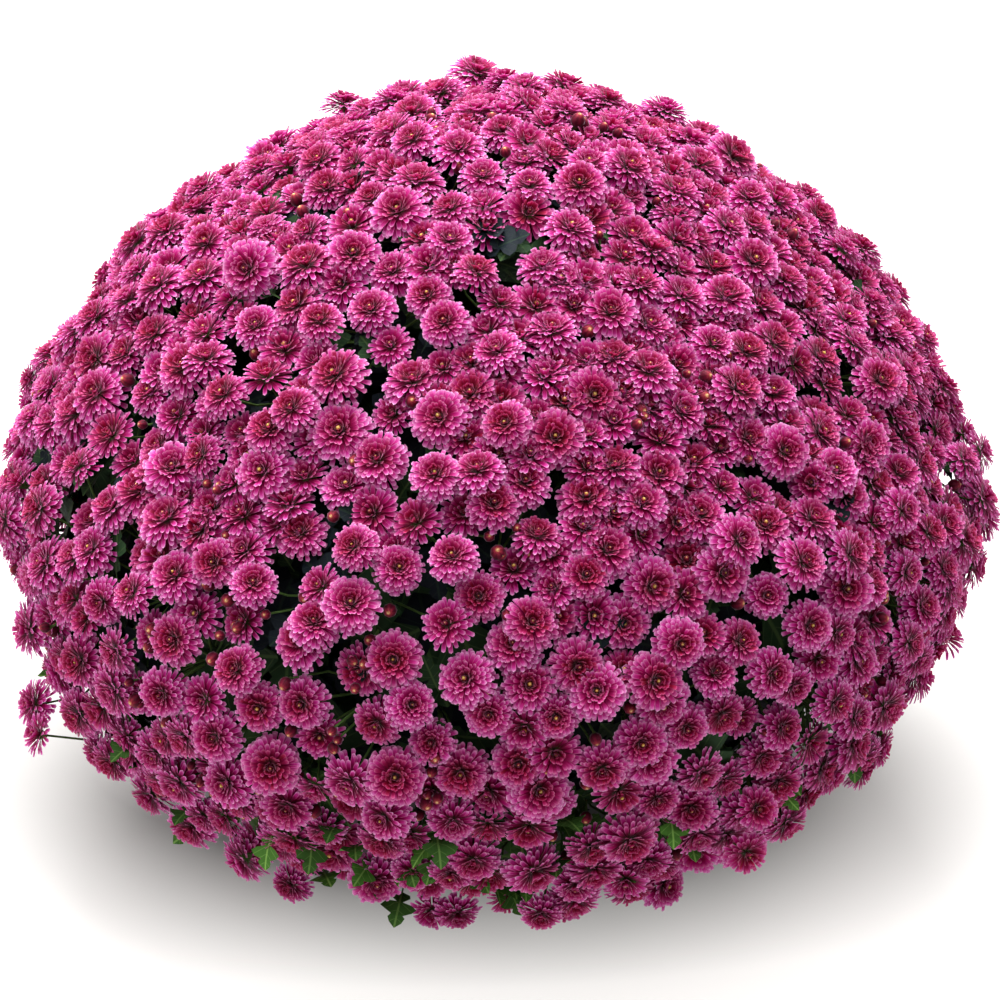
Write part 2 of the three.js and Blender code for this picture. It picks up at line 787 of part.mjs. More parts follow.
function crownSolid() {
  return turned(
    [
      [0, SOIL_TOP - TRUNK_SUNK + GAP],
      [TRUNK_RADIUS, SOIL_TOP - TRUNK_SUNK + GAP],
      [TRUNK_RADIUS, CROWN_LOW],
      [KNOB_RADIUS, CROWN_LOW + KNOB_FLARE],
      [KNOB_RADIUS, CROWN_LOW + KNOB_FLARE + KNOB_BAND],
      [KNOB_RADIUS / 2, CROWN_TOP],
      [0, CROWN_TOP],
    ],
    BRANCHES,
    Math.PI / 2 + Math.PI / BRANCHES,
  );
}

// ---------------------------------------------------------------- the whole plant

const plant = new THREE.Group();

function addPiece(name, solid, material) {
  const mesh = new THREE.Mesh(geometryOf(solid), material);
  mesh.name = name;
  plant.add(mesh);
}

const sites = bloomSites();
const patches = neighbourPatches(sites);
const rings = neighbourRings(sites, patches);
adoptStrays(sites, rings);
chooseRearBlooms(sites, rings);
const { points, bunches } = bunchFaces(sites, patches, rings);
const ends = bunches.map((bunch, i) => branchEnd(sites.filter((site) => site.bunch === i)));

addPiece("pot", potSolid(), potMaterial());
addPiece("soil", soilSolid(), soilMaterial());
addPiece("woody_crown", crownSolid(), woodMaterial());
addPiece("leader", leader(ends[0]), leafMaterial());
bunches.forEach((bunch, i) => {
  const number = String(i).padStart(2, "0");
  if (i > 0) {
    addPiece(`leafy_branch_${number}`, leafyBranch(i - 1, ends[i]), leafMaterial());
  }
  const name = i === 0 ? RINGS[0].name : `${RINGS[1].name}_${number}`;
  addPiece(name, bunchSolid(bunch, points, ends[i]), petalMaterial());
});

export default plant;
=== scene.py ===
import math

import bmesh
import bpy
import numpy as np
from mathutils import Matrix, Vector, noise


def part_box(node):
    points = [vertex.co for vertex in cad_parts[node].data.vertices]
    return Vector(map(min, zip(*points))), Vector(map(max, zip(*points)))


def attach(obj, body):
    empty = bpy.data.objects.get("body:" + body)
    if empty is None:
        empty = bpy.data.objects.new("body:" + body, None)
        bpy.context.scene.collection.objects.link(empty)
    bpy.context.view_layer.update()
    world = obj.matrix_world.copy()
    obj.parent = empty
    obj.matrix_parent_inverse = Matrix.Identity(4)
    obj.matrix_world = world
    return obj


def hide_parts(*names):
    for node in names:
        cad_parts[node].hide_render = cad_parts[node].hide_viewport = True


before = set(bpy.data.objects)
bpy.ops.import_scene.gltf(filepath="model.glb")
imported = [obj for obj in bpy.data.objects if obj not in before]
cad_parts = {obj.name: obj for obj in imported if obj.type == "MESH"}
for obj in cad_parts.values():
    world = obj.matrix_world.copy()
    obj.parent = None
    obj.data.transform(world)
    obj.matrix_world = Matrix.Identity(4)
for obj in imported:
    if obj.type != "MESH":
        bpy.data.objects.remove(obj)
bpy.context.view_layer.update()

# ---------------------------------------------------------------- the view
# The plant is seen from a little above and from far off, so that the mound is nearly without
# perspective. The picture is square.
VIEW_DISTANCE = 2.6
VIEW_ELEVATION = math.radians(28)
VIEW_TARGET = Vector((0, 0, 0.250))
VIEW_WIDTH = 0.6415  # what the picture spans at the target's distance
VIEW_SHIFT = (0.003, -0.029)
SENSOR_WIDTH = 36


def place_camera():
    camera_data = bpy.data.cameras.new("view")
    camera_data.sensor_width = SENSOR_WIDTH
    camera_data.lens = SENSOR_WIDTH * VIEW_DISTANCE / VIEW_WIDTH
    camera_data.shift_x, camera_data.shift_y = VIEW_SHIFT
    camera = bpy.data.objects.new("view", camera_data)
    back = Vector((0, -math.cos(VIEW_ELEVATION), math.sin(VIEW_ELEVATION)))
    camera.location = VIEW_TARGET + VIEW_DISTANCE * back
    camera.rotation_euler = (-back).to_track_quat("-Z", "Y").to_euler()
    bpy.context.scene.collection.objects.link(camera)
    bpy.context.scene.camera = camera


place_camera()

# ---------------------------------------------------------------- pot
# A plain grower's pot of dark plastic, injection moulded in one piece: a thin tapered wall, a stepped
# band round the rim and four drain holes in the floor. The soil fills it to a finger below the rim.
POT_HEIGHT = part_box("pot")[1].z
POT_BASE_RADIUS = 0.082
POT_TOP_RADIUS = 0.108
POT_WALL = 0.0025
POT_FLOOR = 0.003
POT_BAND = 0.024
POT_BAND_PROUD = 0.0035
POT_EDGE = 0.0015
POT_FOOT = 0.003
POT_SIDES = 96
EDGE_STEPS = 4  # steps round a quarter turn of a rounded edge
EDGE_TURN = math.radians(90 / EDGE_STEPS)
SHARP_TURN = math.radians(35)  # edges that turn more than this stay sharp
DRAINS = 4
DRAIN_RADIUS = 0.006
DRAIN_CIRCLE = 0.052
DRAIN_SIDES = 24
POT_COLOUR = (0.012, 0.013, 0.015, 1)
POT_DUST = (0.055, 0.048, 0.042, 1)
DUST_HEIGHT = 0.12


def mesh_of(name, points, faces, uv=None):
    """A smooth mesh from points, faces in groups by their corners, and each point's place on the map."""
    mesh = bpy.data.meshes.new(name)
    faces = [np.asarray(group, np.int64) for group in faces if len(group)]
    corners = np.concatenate([group.ravel() for group in faces])
    sizes = np.concatenate([np.full(len(group), group.shape[1]) for group in faces])
    mesh.vertices.add(len(points))
    mesh.vertices.foreach_set("co", np.asarray(points, np.float32).ravel())
    mesh.loops.add(len(corners))
    mesh.loops.foreach_set("vertex_index", corners.astype(np.int32))
    mesh.polygons.add(len(sizes))
    mesh.polygons.foreach_set("loop_start", (np.cumsum(sizes) - sizes).astype(np.int32))
    mesh.polygons.foreach_set("use_smooth", np.ones(len(sizes), bool))
    if uv is not None:
        layer = mesh.uv_layers.new(name="OFBake")
        layer.data.foreach_set("uv", np.asarray(uv, np.float32)[corners].ravel())
    mesh.update(calc_edges=True)
    return mesh


def piece_of(name, mesh, material, node):
    """A piece of the plant, which rides with it and takes its node's place, alone or with others."""
    piece = bpy.data.objects.new(name, mesh)
    bpy.context.scene.collection.objects.link(piece)
    mesh.materials.append(material)
    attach(piece, "root")
    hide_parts(node)
    return piece


def turned(name, profile, sides):
    """A turned mesh from (radius, height) pairs that start and end on the axis."""
    points = [(0, 0, profile[0][1])]
    for radius, z in profile[1:-1]:
        for k in range(sides):
            angle = math.tau * k / sides
            points.append((radius * math.cos(angle), radius * math.sin(angle), z))
    points.append((0, 0, profile[-1][1]))
    rings = len(profile) - 2
    last = len(points) - 1
    quads = []
    triangles = []
    for k in range(sides):
        following = (k + 1) % sides
        triangles.append((0, 1 + following, 1 + k))
        top = 1 + (rings - 1) * sides
        triangles.append((last, top + k, top + following))
        for ring in range(rings - 1):
            low = 1 + ring * sides
            high = low + sides
            quads.append((low + k, low + following, high + following, high + k))
    return mesh_of(name, points, [quads, triangles])


def new_material(name):
    """A material, its main shader, and ways to add a node and to link what one gives to the shader."""
    material = bpy.data.materials.new(name)
    material.use_nodes = True
    tree = material.node_tree
    shader = tree.nodes["Principled BSDF"]

    def add(kind, *inputs, output=0, **settings):
        node = tree.nodes.new("ShaderNode" + kind)
        for key, value in settings.items():
            setattr(node, key, value)
        for i, value in enumerate(inputs):
            if isinstance(value, bpy.types.NodeSocket):
                tree.links.new(value, node.inputs[i])
            elif value is not None:
                node.inputs[i].default_value = value
        return node.outputs[output]

    def link(output, socket):
        tree.links.new(output, shader.inputs[socket])

    return material, shader, add, link


def colour_ramp(add, factor, stops):
    """A colour ramp from (position, colour) stops."""
    colour = add("ValToRGB", factor)
    elements = colour.node.color_ramp.elements
    while len(elements) < len(stops):
        elements.new(0.5)
    for element, (position, stop) in zip(elements, stops):
        element.position = position
        element.color = stop
    return colour


def moulded_plastic():
    """Dark satin plastic with a fine mould grain and dry soil dust rubbed into it low down."""
    material, _, add, link = new_material("moulded_plastic")
    place = add("TexCoord", output="Object")
    blotch = add("TexNoise", place, None, 26.0, 6.0, 0.6)
    height = add("SeparateXYZ", place, output="Z")
    low = add("MapRange", height, 0.0, DUST_HEIGHT, 0.75, 0.25)
    dust = add("Math", blotch, low, operation="MULTIPLY")
    link(colour_ramp(add, dust, [(0.25, POT_COLOUR), (0.55, POT_DUST)]), "Base Color")
    link(add("MapRange", blotch, 0.3, 0.7, 0.38, 0.62), "Roughness")
    grain = add("TexNoise", place, None, 900.0, 3.0, 0.5)
    link(add("Bump", 0.12, 0.0004, None, grain), "Normal")
    return material


def pot_radius(z):
    """The tapered wall's outer radius at a height."""
    return POT_BASE_RADIUS + (POT_TOP_RADIUS - POT_BASE_RADIUS) * z / POT_HEIGHT


def pot_profile():
    """The pot's section: up outside from the foot over the band and the rim, and down inside."""
    band_low = POT_HEIGHT - POT_BAND
    band = POT_TOP_RADIUS + POT_BAND_PROUD
    inner_top = pot_radius(POT_HEIGHT) - POT_WALL
    rim_middle = (band + inner_top) / 2
    rim_half = (band - inner_top) / 2
    profile = [(0, 0), (POT_BASE_RADIUS - POT_FOOT, 0)]
    for step in range(1, EDGE_STEPS + 1):
        turn = EDGE_TURN * step
        z = POT_FOOT * (1 - math.cos(turn))
        profile.append((pot_radius(z) - POT_FOOT * (1 - math.sin(turn)), z))
    profile.append((pot_radius(band_low), band_low))
    for step in range(EDGE_STEPS + 1):
        turn = EDGE_TURN * step
        radius = band - POT_EDGE * (1 - math.sin(turn))
        profile.append((radius, band_low + POT_EDGE * (1 - math.cos(turn))))
    for step in range(2 * EDGE_STEPS + 1):
        turn = EDGE_TURN * step
        lift = POT_EDGE * math.sin(turn)
        profile.append((rim_middle + rim_half * math.cos(turn), POT_HEIGHT - POT_EDGE + lift))
    profile.append((pot_radius(POT_FLOOR) - POT_WALL, POT_FLOOR))
    profile.append((0, POT_FLOOR))
    return profile


def make_pot():
    """The pot, with its drain holes cut through the floor."""
    mesh = turned("pot_moulded", pot_profile(), POT_SIDES)
    pot = piece_of("pot_moulded", mesh, moulded_plastic(), "pot")
    low, high = -POT_FLOOR, 2 * POT_FLOOR
    column = [(0, low), (DRAIN_RADIUS, low), (DRAIN_RADIUS, high), (0, high)]
    for k in range(DRAINS):
        angle = math.tau * k / DRAINS
        hole = turned("drain", column, DRAIN_SIDES)
        middle = DRAIN_CIRCLE * math.cos(angle), DRAIN_CIRCLE * math.sin(angle), 0
        hole.transform(Matrix.Translation(middle))
        cutter = bpy.data.objects.new("drain", hole)
        bpy.context.scene.collection.objects.link(cutter)
        cut = pot.modifiers.new("drain", "BOOLEAN")
        cut.object = cutter
        cut.solver = "EXACT"
        bpy.context.view_layer.update()
        graph = bpy.context.evaluated_depsgraph_get()
        pot.data = bpy.data.meshes.new_from_object(pot.evaluated_get(graph))
        pot.modifiers.clear()
        bpy.data.objects.remove(cutter)
    pot.data.set_sharp_from_angle(angle=SHARP_TURN)


make_pot()

# ---------------------------------------------------------------- soil
# Moist potting soil, peat with bark crumbs and a few white grains of perlite. It was filled in round
# the crown and pressed down, so it rises a little towards the trunk, which stands in a plain hole.
SOIL_BELOW_RIM = 0.016
SOIL_TOP = POT_HEIGHT - SOIL_BELOW_RIM
SOIL_MOUND = 0.007
SOIL_GAP = 0.0003
TRUNK_HOLE = 0.0116
TRUNK_SUNK = 0.060
SOIL_RINGS = 26
CLOD = 0.0016
CLOD_SCALES = (130, 330)
SMALL_CLODS = 0.6
PLAIN_EDGE = 0.0005  # how far the clods keep off the wall and the hole
BARK_CRUMBS = 320
PERLITE_GRAINS = 70
CRUMB_SIZE = (0.0012, 0.0034)
CRUMB_STRETCH = (0.5, 1.1)
CRUMB_RING = (1.7 * TRUNK_HOLE, 0.9 * POT_TOP_RADIUS)
CRUMB_SEED = 31
CRUMB_CORNERS = ((1, 0, 0), (-1, 0, 0), (0, 1, 0), (0, -1, 0), (0, 0, 1), (0, 0, -1))
CRUMB_FACES = ((0, 2, 4), (2, 1, 4), (1, 3, 4), (3, 0, 4), (2, 0, 5), (1, 2, 5), (3, 1, 5), (0, 3, 5))
# the darker colour, painted shade in the pores, the lighter colour, and how fine the grain is
PEAT = (0.006, 0.004, 0.003, 1), (0.05, 0.032, 0.02, 1), 260.0
BARK = (0.02, 0.011, 0.006, 1), (0.12, 0.07, 0.04, 1), 420.0
PERLITE = (0.42, 0.4, 0.36, 1), (0.8, 0.78, 0.74, 1), 500.0


def soil_height(radius):
    """The height of the soil at a distance from the middle, apart from its clods."""
    return SOIL_TOP + SOIL_MOUND * (1 - radius / POT_TOP_RADIUS)


def potting_soil(name, dark, light, scale):
    """Dull crumbly stuff, with painted shade that darkens its pores."""
    material, shader, add, link = new_material(name)
    place = add("TexCoord", output="Object")
    crumb = add("TexVoronoi", place, None, scale, output="Distance")
    fine = add("TexNoise", place, None, 3 * scale, 6.0, 0.7)
    pore_shade = add("Math", crumb, fine, operation="MULTIPLY")
    # painted shade: the darker colour falls in the pores
    link(colour_ramp(add, pore_shade, [(0.05, dark), (0.42, light)]), "Base Color")
    link(add("Bump", 0.6, 0.0008, None, fine), "Normal")
    shader.inputs["Roughness"].default_value = 0.95
    return material


def copies(faces, points_each, count):
    """The same faces for many forms that have so many points each."""
    return (faces + points_each * np.arange(count)[:, None, None]).reshape(-1, faces.shape[-1])


def soil_crumbs(name, count, material, chance):
    """Small lumps with flat sides that lie on the soil."""
    nearest, furthest = CRUMB_RING
    radius = np.sqrt(chance.uniform(nearest**2, furthest**2, count))
    angle = chance.uniform(0, math.tau, count)
    size = chance.uniform(*CRUMB_SIZE, count)
    middle = np.stack([radius * np.cos(angle), radius * np.sin(angle), soil_height(radius) + size / 3], 1)
    stretch = size[:, None, None] * chance.uniform(*CRUMB_STRETCH, (count, len(CRUMB_CORNERS), 1))
    points = middle[:, None] + np.array(CRUMB_CORNERS, float) * stretch
    faces = copies(np.array(CRUMB_FACES), len(CRUMB_CORNERS), count)
    mesh = mesh_of(name, points.reshape(-1, 3), [faces])
    mesh.set_sharp_from_angle(angle=0)
    piece_of(name, mesh, material, "soil")


def make_soil():
    """The soil up to the wall, with clods on top, and loose crumbs of bark and perlite."""
    low = POT_FLOOR + SOIL_GAP
    edge = pot_radius(SOIL_TOP) - POT_WALL - SOIL_GAP
    profile = [(0, low), (pot_radius(low) - POT_WALL - SOIL_GAP, low)]
    for step in range(SOIL_RINGS + 1):
        radius = edge + (TRUNK_HOLE - edge) * step / SOIL_RINGS
        profile.append((radius, soil_height(radius)))
    profile.append((TRUNK_HOLE, SOIL_TOP - TRUNK_SUNK))
    profile.append((0, SOIL_TOP - TRUNK_SUNK))
    mesh = turned("soil_filled", profile, POT_SIDES)
    large, small = CLOD_SCALES
    for vertex in mesh.vertices:
        radius = vertex.co.xy.length
        if vertex.co.z > SOIL_TOP - CLOD and TRUNK_HOLE + PLAIN_EDGE < radius < edge - PLAIN_EDGE:
            lump = noise.noise(vertex.co * large) + SMALL_CLODS * noise.noise(vertex.co * small)
            vertex.co.z += CLOD * lump
    piece_of("soil_filled", mesh, potting_soil("damp_peat", *PEAT), "soil")
    chance = np.random.default_rng(CRUMB_SEED)
    soil_crumbs("soil_bark_crumbs", BARK_CRUMBS, potting_soil("bark_crumb", *BARK), chance)
    soil_crumbs("soil_perlite", PERLITE_GRAINS, potting_soil("perlite", *PERLITE), chance)


make_soil()

# ---------------------------------------------------------------- woody crown
# The short brown trunk that the plant has made over its years: a taproot in the soil, and above it a
# knob with a collar for each main branch. It is old wood with rough, furrowed bark.
FLARE_ABOVE_SOIL = 0.006
CROWN_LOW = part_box("soil")[1].z + FLARE_ABOVE_SOIL
CROWN_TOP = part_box("woody_crown")[1].z
CROWN_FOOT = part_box("woody_crown")[0].z
TRUNK_RADIUS = 0.011
ROOT_TIP = 0.7  # the taproot's blunt end, as a share of the trunk's radius
ROOT_TIP_HEIGHT = 0.004
ROOT_STRAIGHT = 0.01
TRUNK_STEPS = 11
KNOB_RADIUS = 0.017
KNOB_FLARE = 0.007
KNOB_BAND = 0.012
KNOB_BULGE = 0.06
KNOB_STEPS = 4
DOME_HOLLOW = 0.44  # how much the dome draws in, and the knob's flat middle makes up the rest
DOME_TURN = math.radians(11)
DOME_STEPS = 8
BRANCHES = 6
COLLAR = 0.0012  # how far the knob is drawn in between the collars
FURROW = 0.0007
FURROWS_PER_METRE = 420
RIDGES_PER_METRE = 90
FURROW_LENGTHENED = 0.22
CROWN_SIDES = 48
BARK_STOPS = (
    (0.3, (0.035, 0.022, 0.013, 1)),
    (0.5, (0.13, 0.085, 0.05, 1)),
    (0.7, (0.27, 0.2, 0.13, 1)),
)


def furrowed_bark():
    """Dull brown bark, split into long plates, with furrows darker partly in the bark's own colour and
    partly as painted shade.
    """
    material, shader, add, link = new_material("furrowed_bark")
    place = add("TexCoord", output="Object")
    long = add("VectorMath", place, (1.0, 1.0, FURROW_LENGTHENED), operation="MULTIPLY")
    plates = add("TexNoise", long, None, float(FURROWS_PER_METRE), 6.0, 0.62)
    # the furrows' darker colour is partly the bark's own and partly painted shade
    link(colour_ramp(add, plates, BARK_STOPS), "Base Color")
    link(add("Bump", 0.8, 0.0012, None, plates), "Normal")
    shader.inputs["Roughness"].default_value = 0.9
    return material


def crown_profile():
    """The crown's section: the taproot's blunt tip, the trunk, the knob's flare and band, and its dome."""
    tip = ROOT_TIP * TRUNK_RADIUS
    profile = [(0, CROWN_FOOT), (tip, CROWN_FOOT), (TRUNK_RADIUS, CROWN_FOOT + ROOT_TIP_HEIGHT)]
    straight = CROWN_FOOT + ROOT_STRAIGHT
    for step in range(TRUNK_STEPS + 1):
        profile.append((TRUNK_RADIUS, straight + (CROWN_LOW - straight) * step / TRUNK_STEPS))
    knob_low = CROWN_LOW + KNOB_FLARE
    for step in range(KNOB_STEPS + 1):
        share = step / KNOB_STEPS
        bulge = KNOB_BULGE * math.sin(math.pi * share)
        profile.append((KNOB_RADIUS * (1 - KNOB_BULGE + bulge), knob_low + KNOB_BAND * share))
    knob_high = knob_low + KNOB_BAND
    for step in range(1, DOME_STEPS + 1):
        turn = DOME_TURN * step
        radius = KNOB_RADIUS * (1 - KNOB_BULGE - DOME_HOLLOW * (1 - math.cos(turn)))
        profile.append((radius, knob_high + (CROWN_TOP - knob_high) * math.sin(turn)))
    profile.append((0, CROWN_TOP))
    return profile


def make_crown():
    """The turned crown, drawn in between the collars, with furrows in its bark above the soil."""
    mesh = turned("woody_crown_bark", crown_profile(), CROWN_SIDES)
    scale = Vector((FURROWS_PER_METRE, FURROWS_PER_METRE, RIDGES_PER_METRE))
    for vertex in mesh.vertices:
        radius = vertex.co.xy.length
        if radius == 0:
            continue
        angle = math.atan2(vertex.co.y, vertex.co.x)
        above = min(max((vertex.co.z - CROWN_LOW) / KNOB_FLARE, 0), 1)
        rough = noise.noise(vertex.co * scale)
        push = above * COLLAR * (math.cos(BRANCHES * angle) - 1) / 2
        if vertex.co.z > SOIL_TOP:
            push += FURROW * (rough - 0.5)
        vertex.co.xy *= (radius + push) / radius
    piece_of("woody_crown_bark", mesh, furrowed_bark(), "woody_crown")


make_crown()

# ---------------------------------------------------------------- the mound's form
# The blooms stand close together on one smooth mound. Their places follow a golden-angle spiral over
# it, and a top bunch and six side bunches share them out, one for the leader and each main branch.
GOLDEN_ANGLE = math.pi * (3 - math.sqrt(5))
WIDE_RADIUS = 0.314
WIDE_Z = 0.250
TOP_Z = 0.512
SHOULDER_POWER = 1.6
RIM_RADIUS = 0.238
RIM_Z = 0.076
UPPER_STEPS = 240
LOWER_STEPS = 80
GUARD_DROP = 0.026
GUARD_INSET = 0.015
GUARDS = 52
LOBE = 0.02
LOBE_ANGLE = math.pi / 4
LEAN = 0.02
LEAN_ANGLE = math.radians(225)
BLOOM_SITES = 870
SITE_SEED = 77
SITE_JITTER = 0.2
BLOOM_LIFT = 0.0035
BUNCH_LIFT = 0.004
BUD_GAPS = 0.2
BUNCH_DEPTH = 0.100
TOP_SHARE = 0.19
SIDE_BUNCHES = 6
BUNCH_NAMES = ["bunch_top"] + [f"bunch_side_{k:02d}" for k in range(1, SIDE_BUNCHES + 1)]
DRAW_FACTOR = 1664525
DRAW_TERM = 1013904223
DRAW_RANGE = 2**32
UP = np.array((0, 0, 1.0))


def seeded_draws(seed):
    """The same draws from 0 to 1 in every run."""
    while True:
        seed = (seed * DRAW_FACTOR + DRAW_TERM) % DRAW_RANGE
        yield seed / DRAW_RANGE


def either_way(draws):
    """The next draw, from -1 to 1."""
    return 2 * next(draws) - 1


def mound_outline():
    """Radius, height and the area above, from the top of the mound to its rim."""
    outline = []
    for i in range(UPPER_STEPS + 1):
        angle = math.pi / 2 * (1 - i / UPPER_STEPS)
        radius = WIDE_RADIUS * max(math.cos(angle), 0) ** (2 / SHOULDER_POWER)
        z = WIDE_Z + (TOP_Z - WIDE_Z) * max(math.sin(angle), 0) ** (2 / SHOULDER_POWER)
        outline.append((radius, z))
    for i in range(1, LOWER_STEPS + 1):
        share = i / LOWER_STEPS
        radius = WIDE_RADIUS - (WIDE_RADIUS - RIM_RADIUS) * share**2
        outline.append((radius, WIDE_Z - (WIDE_Z - RIM_Z) * share))
    outline = np.array(outline)
    before = np.vstack([outline[:1], outline[:-1]])
    length = np.hypot(*(outline - before).T)
    area = np.cumsum(math.pi * (outline[:, 0] + before[:, 0]) * length)
    return outline, area


OUTLINE, OUTLINE_AREA = mound_outline()
MOUND_AREA = OUTLINE_AREA[-1]
SPACING = math.sqrt(MOUND_AREA / BLOOM_SITES)


def outline_at(share):
    """Radius, height and outward normal at a share of the mound's area."""
    area = min(max(share, 0), 1) * MOUND_AREA
    i = int(min(max(np.searchsorted(OUTLINE_AREA, area), 1), len(OUTLINE) - 1))
    part = (area - OUTLINE_AREA[i - 1]) / (OUTLINE_AREA[i] - OUTLINE_AREA[i - 1])
    radius, z = OUTLINE[i - 1] + (OUTLINE[i] - OUTLINE[i - 1]) * part
    along = OUTLINE[i] - OUTLINE[i - 1]
    along = along / np.hypot(*along)
    return radius, z, -along[1], along[0]


def reach(angle, z):
    """How far the mound reaches out at an angle, as a factor on its radius."""
    lowness = min(max((TOP_Z - z) / (TOP_Z - RIM_Z), 0), 1)
    lobe = LOBE * math.cos(2 * (angle - LOBE_ANGLE))
    return 1 + lobe + LEAN * lowness * math.cos(angle - LEAN_ANGLE)


def polar(radius, angle, z):
    """A point from its distance to the middle axis, its angle and its height."""
    return np.array((radius * math.cos(angle), radius * math.sin(angle), z))


def unit(vectors):
    """The same directions with the length 1."""
    return vectors / np.maximum(np.linalg.norm(vectors, axis=-1, keepdims=True), 1e-9)


def side_bunch_at(angle):
    """The number of the side bunch that an angle falls in."""
    return 1 + np.floor(angle / math.tau * SIDE_BUNCHES + 0.5).astype(int) % SIDE_BUNCHES


def bloom_sites():
    """Every bloom's place and outward direction, its bunch, and whether a bud may take its place."""
    draws = seeded_draws(SITE_SEED)
    bunch_lift = [BUNCH_LIFT * either_way(draws) for name in BUNCH_NAMES]
    bases, normals, bunches, gaps = [], [], [], []
    for i in range(BLOOM_SITES):
        even_share = (i + 0.5) / BLOOM_SITES
        even_radius = outline_at(even_share)[0]
        slide = SITE_JITTER * SPACING * either_way(draws)
        swing = SITE_JITTER * SPACING * either_way(draws)
        share = min(max(even_share + slide * math.tau * even_radius / MOUND_AREA, 0), 1)
        angle = math.fmod(i * GOLDEN_ANGLE + swing / max(even_radius, SPACING), math.tau)
        radius, z, normal_radius, normal_z = outline_at(share)
        bunch = 0 if share <= TOP_SHARE else side_bunch_at(angle)
        lift = bunch_lift[bunch] + BLOOM_LIFT * either_way(draws)
        gaps.append(next(draws) < BUD_GAPS)
        normal = polar(normal_radius, angle, normal_z)
        bases.append(polar(radius * reach(angle, z), angle, z) + lift * normal)
        normals.append(normal)
        bunches.append(bunch)
    return np.array(bases), np.array(normals), np.array(bunches), np.array(gaps)


def neighbouring_sites(bases):
    """Triples of neighbouring places, from the hull of the places seen from the mound's middle.

    A ring of guards below the rim keeps them off the open underside."""
    points = list(bases)
    for i in range(GUARDS):
        angle = math.tau * i / GUARDS
        z = RIM_Z - GUARD_DROP
        points.append(polar((RIM_RADIUS - GUARD_INSET) * reach(angle, z), angle, z))
    rays = unit(np.array(points) - WIDE_Z * UP)
    hull = bmesh.new()
    for ray in [*rays, -UP]:
        hull.verts.new(ray)
    hull.verts.ensure_lookup_table()
    hull.verts.index_update()
    faces = bmesh.ops.convex_hull(hull, input=hull.verts, use_existing_faces=False)["geom"]
    triples = []
    for face in faces:
        if isinstance(face, bmesh.types.BMFace):
            triple = [vertex.index for vertex in face.verts]
            if max(triple) < len(bases):
                triples.append(triple)
    hull.free()
    return np.array(triples)


def rear_sites(count, triples):
    """Places picked in turn so that no two of them are side by side."""
    around = [set() for i in range(count)]
    for triple in triples:
        for site in triple:
            around[site].update(triple)
    rear = np.zeros(count, bool)
    for site in range(count):
        rear[site] = not any(rear[other] for other in around[site] if other != site)
    return rear


SITE_BASE, SITE_NORMAL, SITE_BUNCH, SITE_MAY_BUD = bloom_sites()
SITE_TRIPLES = neighbouring_sites(SITE_BASE)
SITE_REAR = rear_sites(BLOOM_SITES, SITE_TRIPLES)
SITE_GAP = SITE_MAY_BUD & SITE_REAR


def branch_end(bunch):
    """Where a stem ends behind the middle of its bunch, and the way that the bunch faces."""
    members = SITE_BUNCH == bunch
    normal = unit(SITE_NORMAL[members].sum(0))
    return SITE_BASE[members].mean(0) - BUNCH_DEPTH * normal, normal


# ---------------------------------------------------------------- leader and leafy branches
# The main stems: one leader straight up, and six branches that leave the crown level and come up
# behind their bunches. Each branch bears a side shoot and a leafy twig. The stems are smooth and
# green, and the lobed leaves, with a rib and side veins, grow straight from them.
BRANCH_RADIUS = 0.0045
BRANCH_LEVEL = 0.014
BRANCH_START_Z = CROWN_LOW + KNOB_FLARE + KNOB_BAND / 2
BRANCH_BOW = (0, 0, -0.002)
BRANCH_STEPS = 9
SHOOT_RADIUS = 0.003
SEAT_LENGTH = 0.014  # the last straight length below a bunch
TWIG_RADIUS = 0.0022
TWIG_TIP_RADIUS = 0.0015
TWIG_START = 0.5
TWIG_END = (0.168, 0.108)  # distance from the middle, and height
TWIG_BOW = (0, 0, 0.006)
TWIG_STEPS = 7
SIDE_SHOOT_START = 0.72
SIDE_SHOOT_TURN = 0.2
SIDE_SHOOT_END = (0.150, 0.284)
SIDE_SHOOT_BOW = (0, 0, 0.003)
LEADER_RISE = 0.040
LEADER_BOW = (0.002, -0.003, 0)
LEADER_STEPS = 8
LEADER_SHOOTS = 3
LEADER_FORK = 0.4
LEADER_SPREAD = 0.096
LEADER_SHORT = 0.012
LEADER_SHOOT_BOW = (0, 0, -0.008)
STEM_SIDES = 8
LARGE_LEAF = 0.052
TWIG_LEAVES = (
    # place back from the twig's end, turn, fall and size
    (0.00, 0.0, -0.8, 1.00),
    (0.22, 0.9, -0.5, 0.90),
    (0.42, -0.9, -0.5, 0.90),
    (0.64, 0.6, -0.9, 0.80),
)
TWIG_LEAF_BAND = 4  # which of the greens
BRANCH_LEAVES = 16
BRANCH_LEAF_FIRST = 0.15
BRANCH_LEAF_SPAN = 0.8
BRANCH_LEAF_TURN = (0.5, 1.5)
BRANCH_LEAF_FALL = (-0.7, 0.25)
BRANCH_LEAF_SIZE = (0.6, 0.95)
BRANCH_LEAF_BANDS = (2, 5)  # the greens from the first up to the last, which is left out
BRANCH_LEAF_ROLL = 0.15
BRANCH_SEED = 100
LEAF_HALF = (
    # place along the blade and half its width there, from the foot to the tip
    (0.000, 0.035),
    (0.150, 0.050),
    (0.240, 0.480),
    (0.360, 0.540),
    (0.430, 0.180),
    (0.520, 0.700),
    (0.620, 1.000),
    (0.720, 0.800),
    (0.755, 0.330),
    (0.830, 0.470),
    (0.910, 0.340),
    (1.000, 0.010),
)
LEAF_SLENDER = 0.36  # half of a leaf's width, as a share of its length
LEAF_FOLD = (0.1, 0.5)
LEAF_ARCH = (0.1, 0.42)
LEAF_ARCH_SHORTENS = 0.3
LEAF_WAVE = 0.06
GREEN_BANDS = 8  # six greens of leaves from a near-black painted shade to a lit green, then calyxes and stems
MOST_LIT_GREEN = 5
GREEN_CALYX = 6
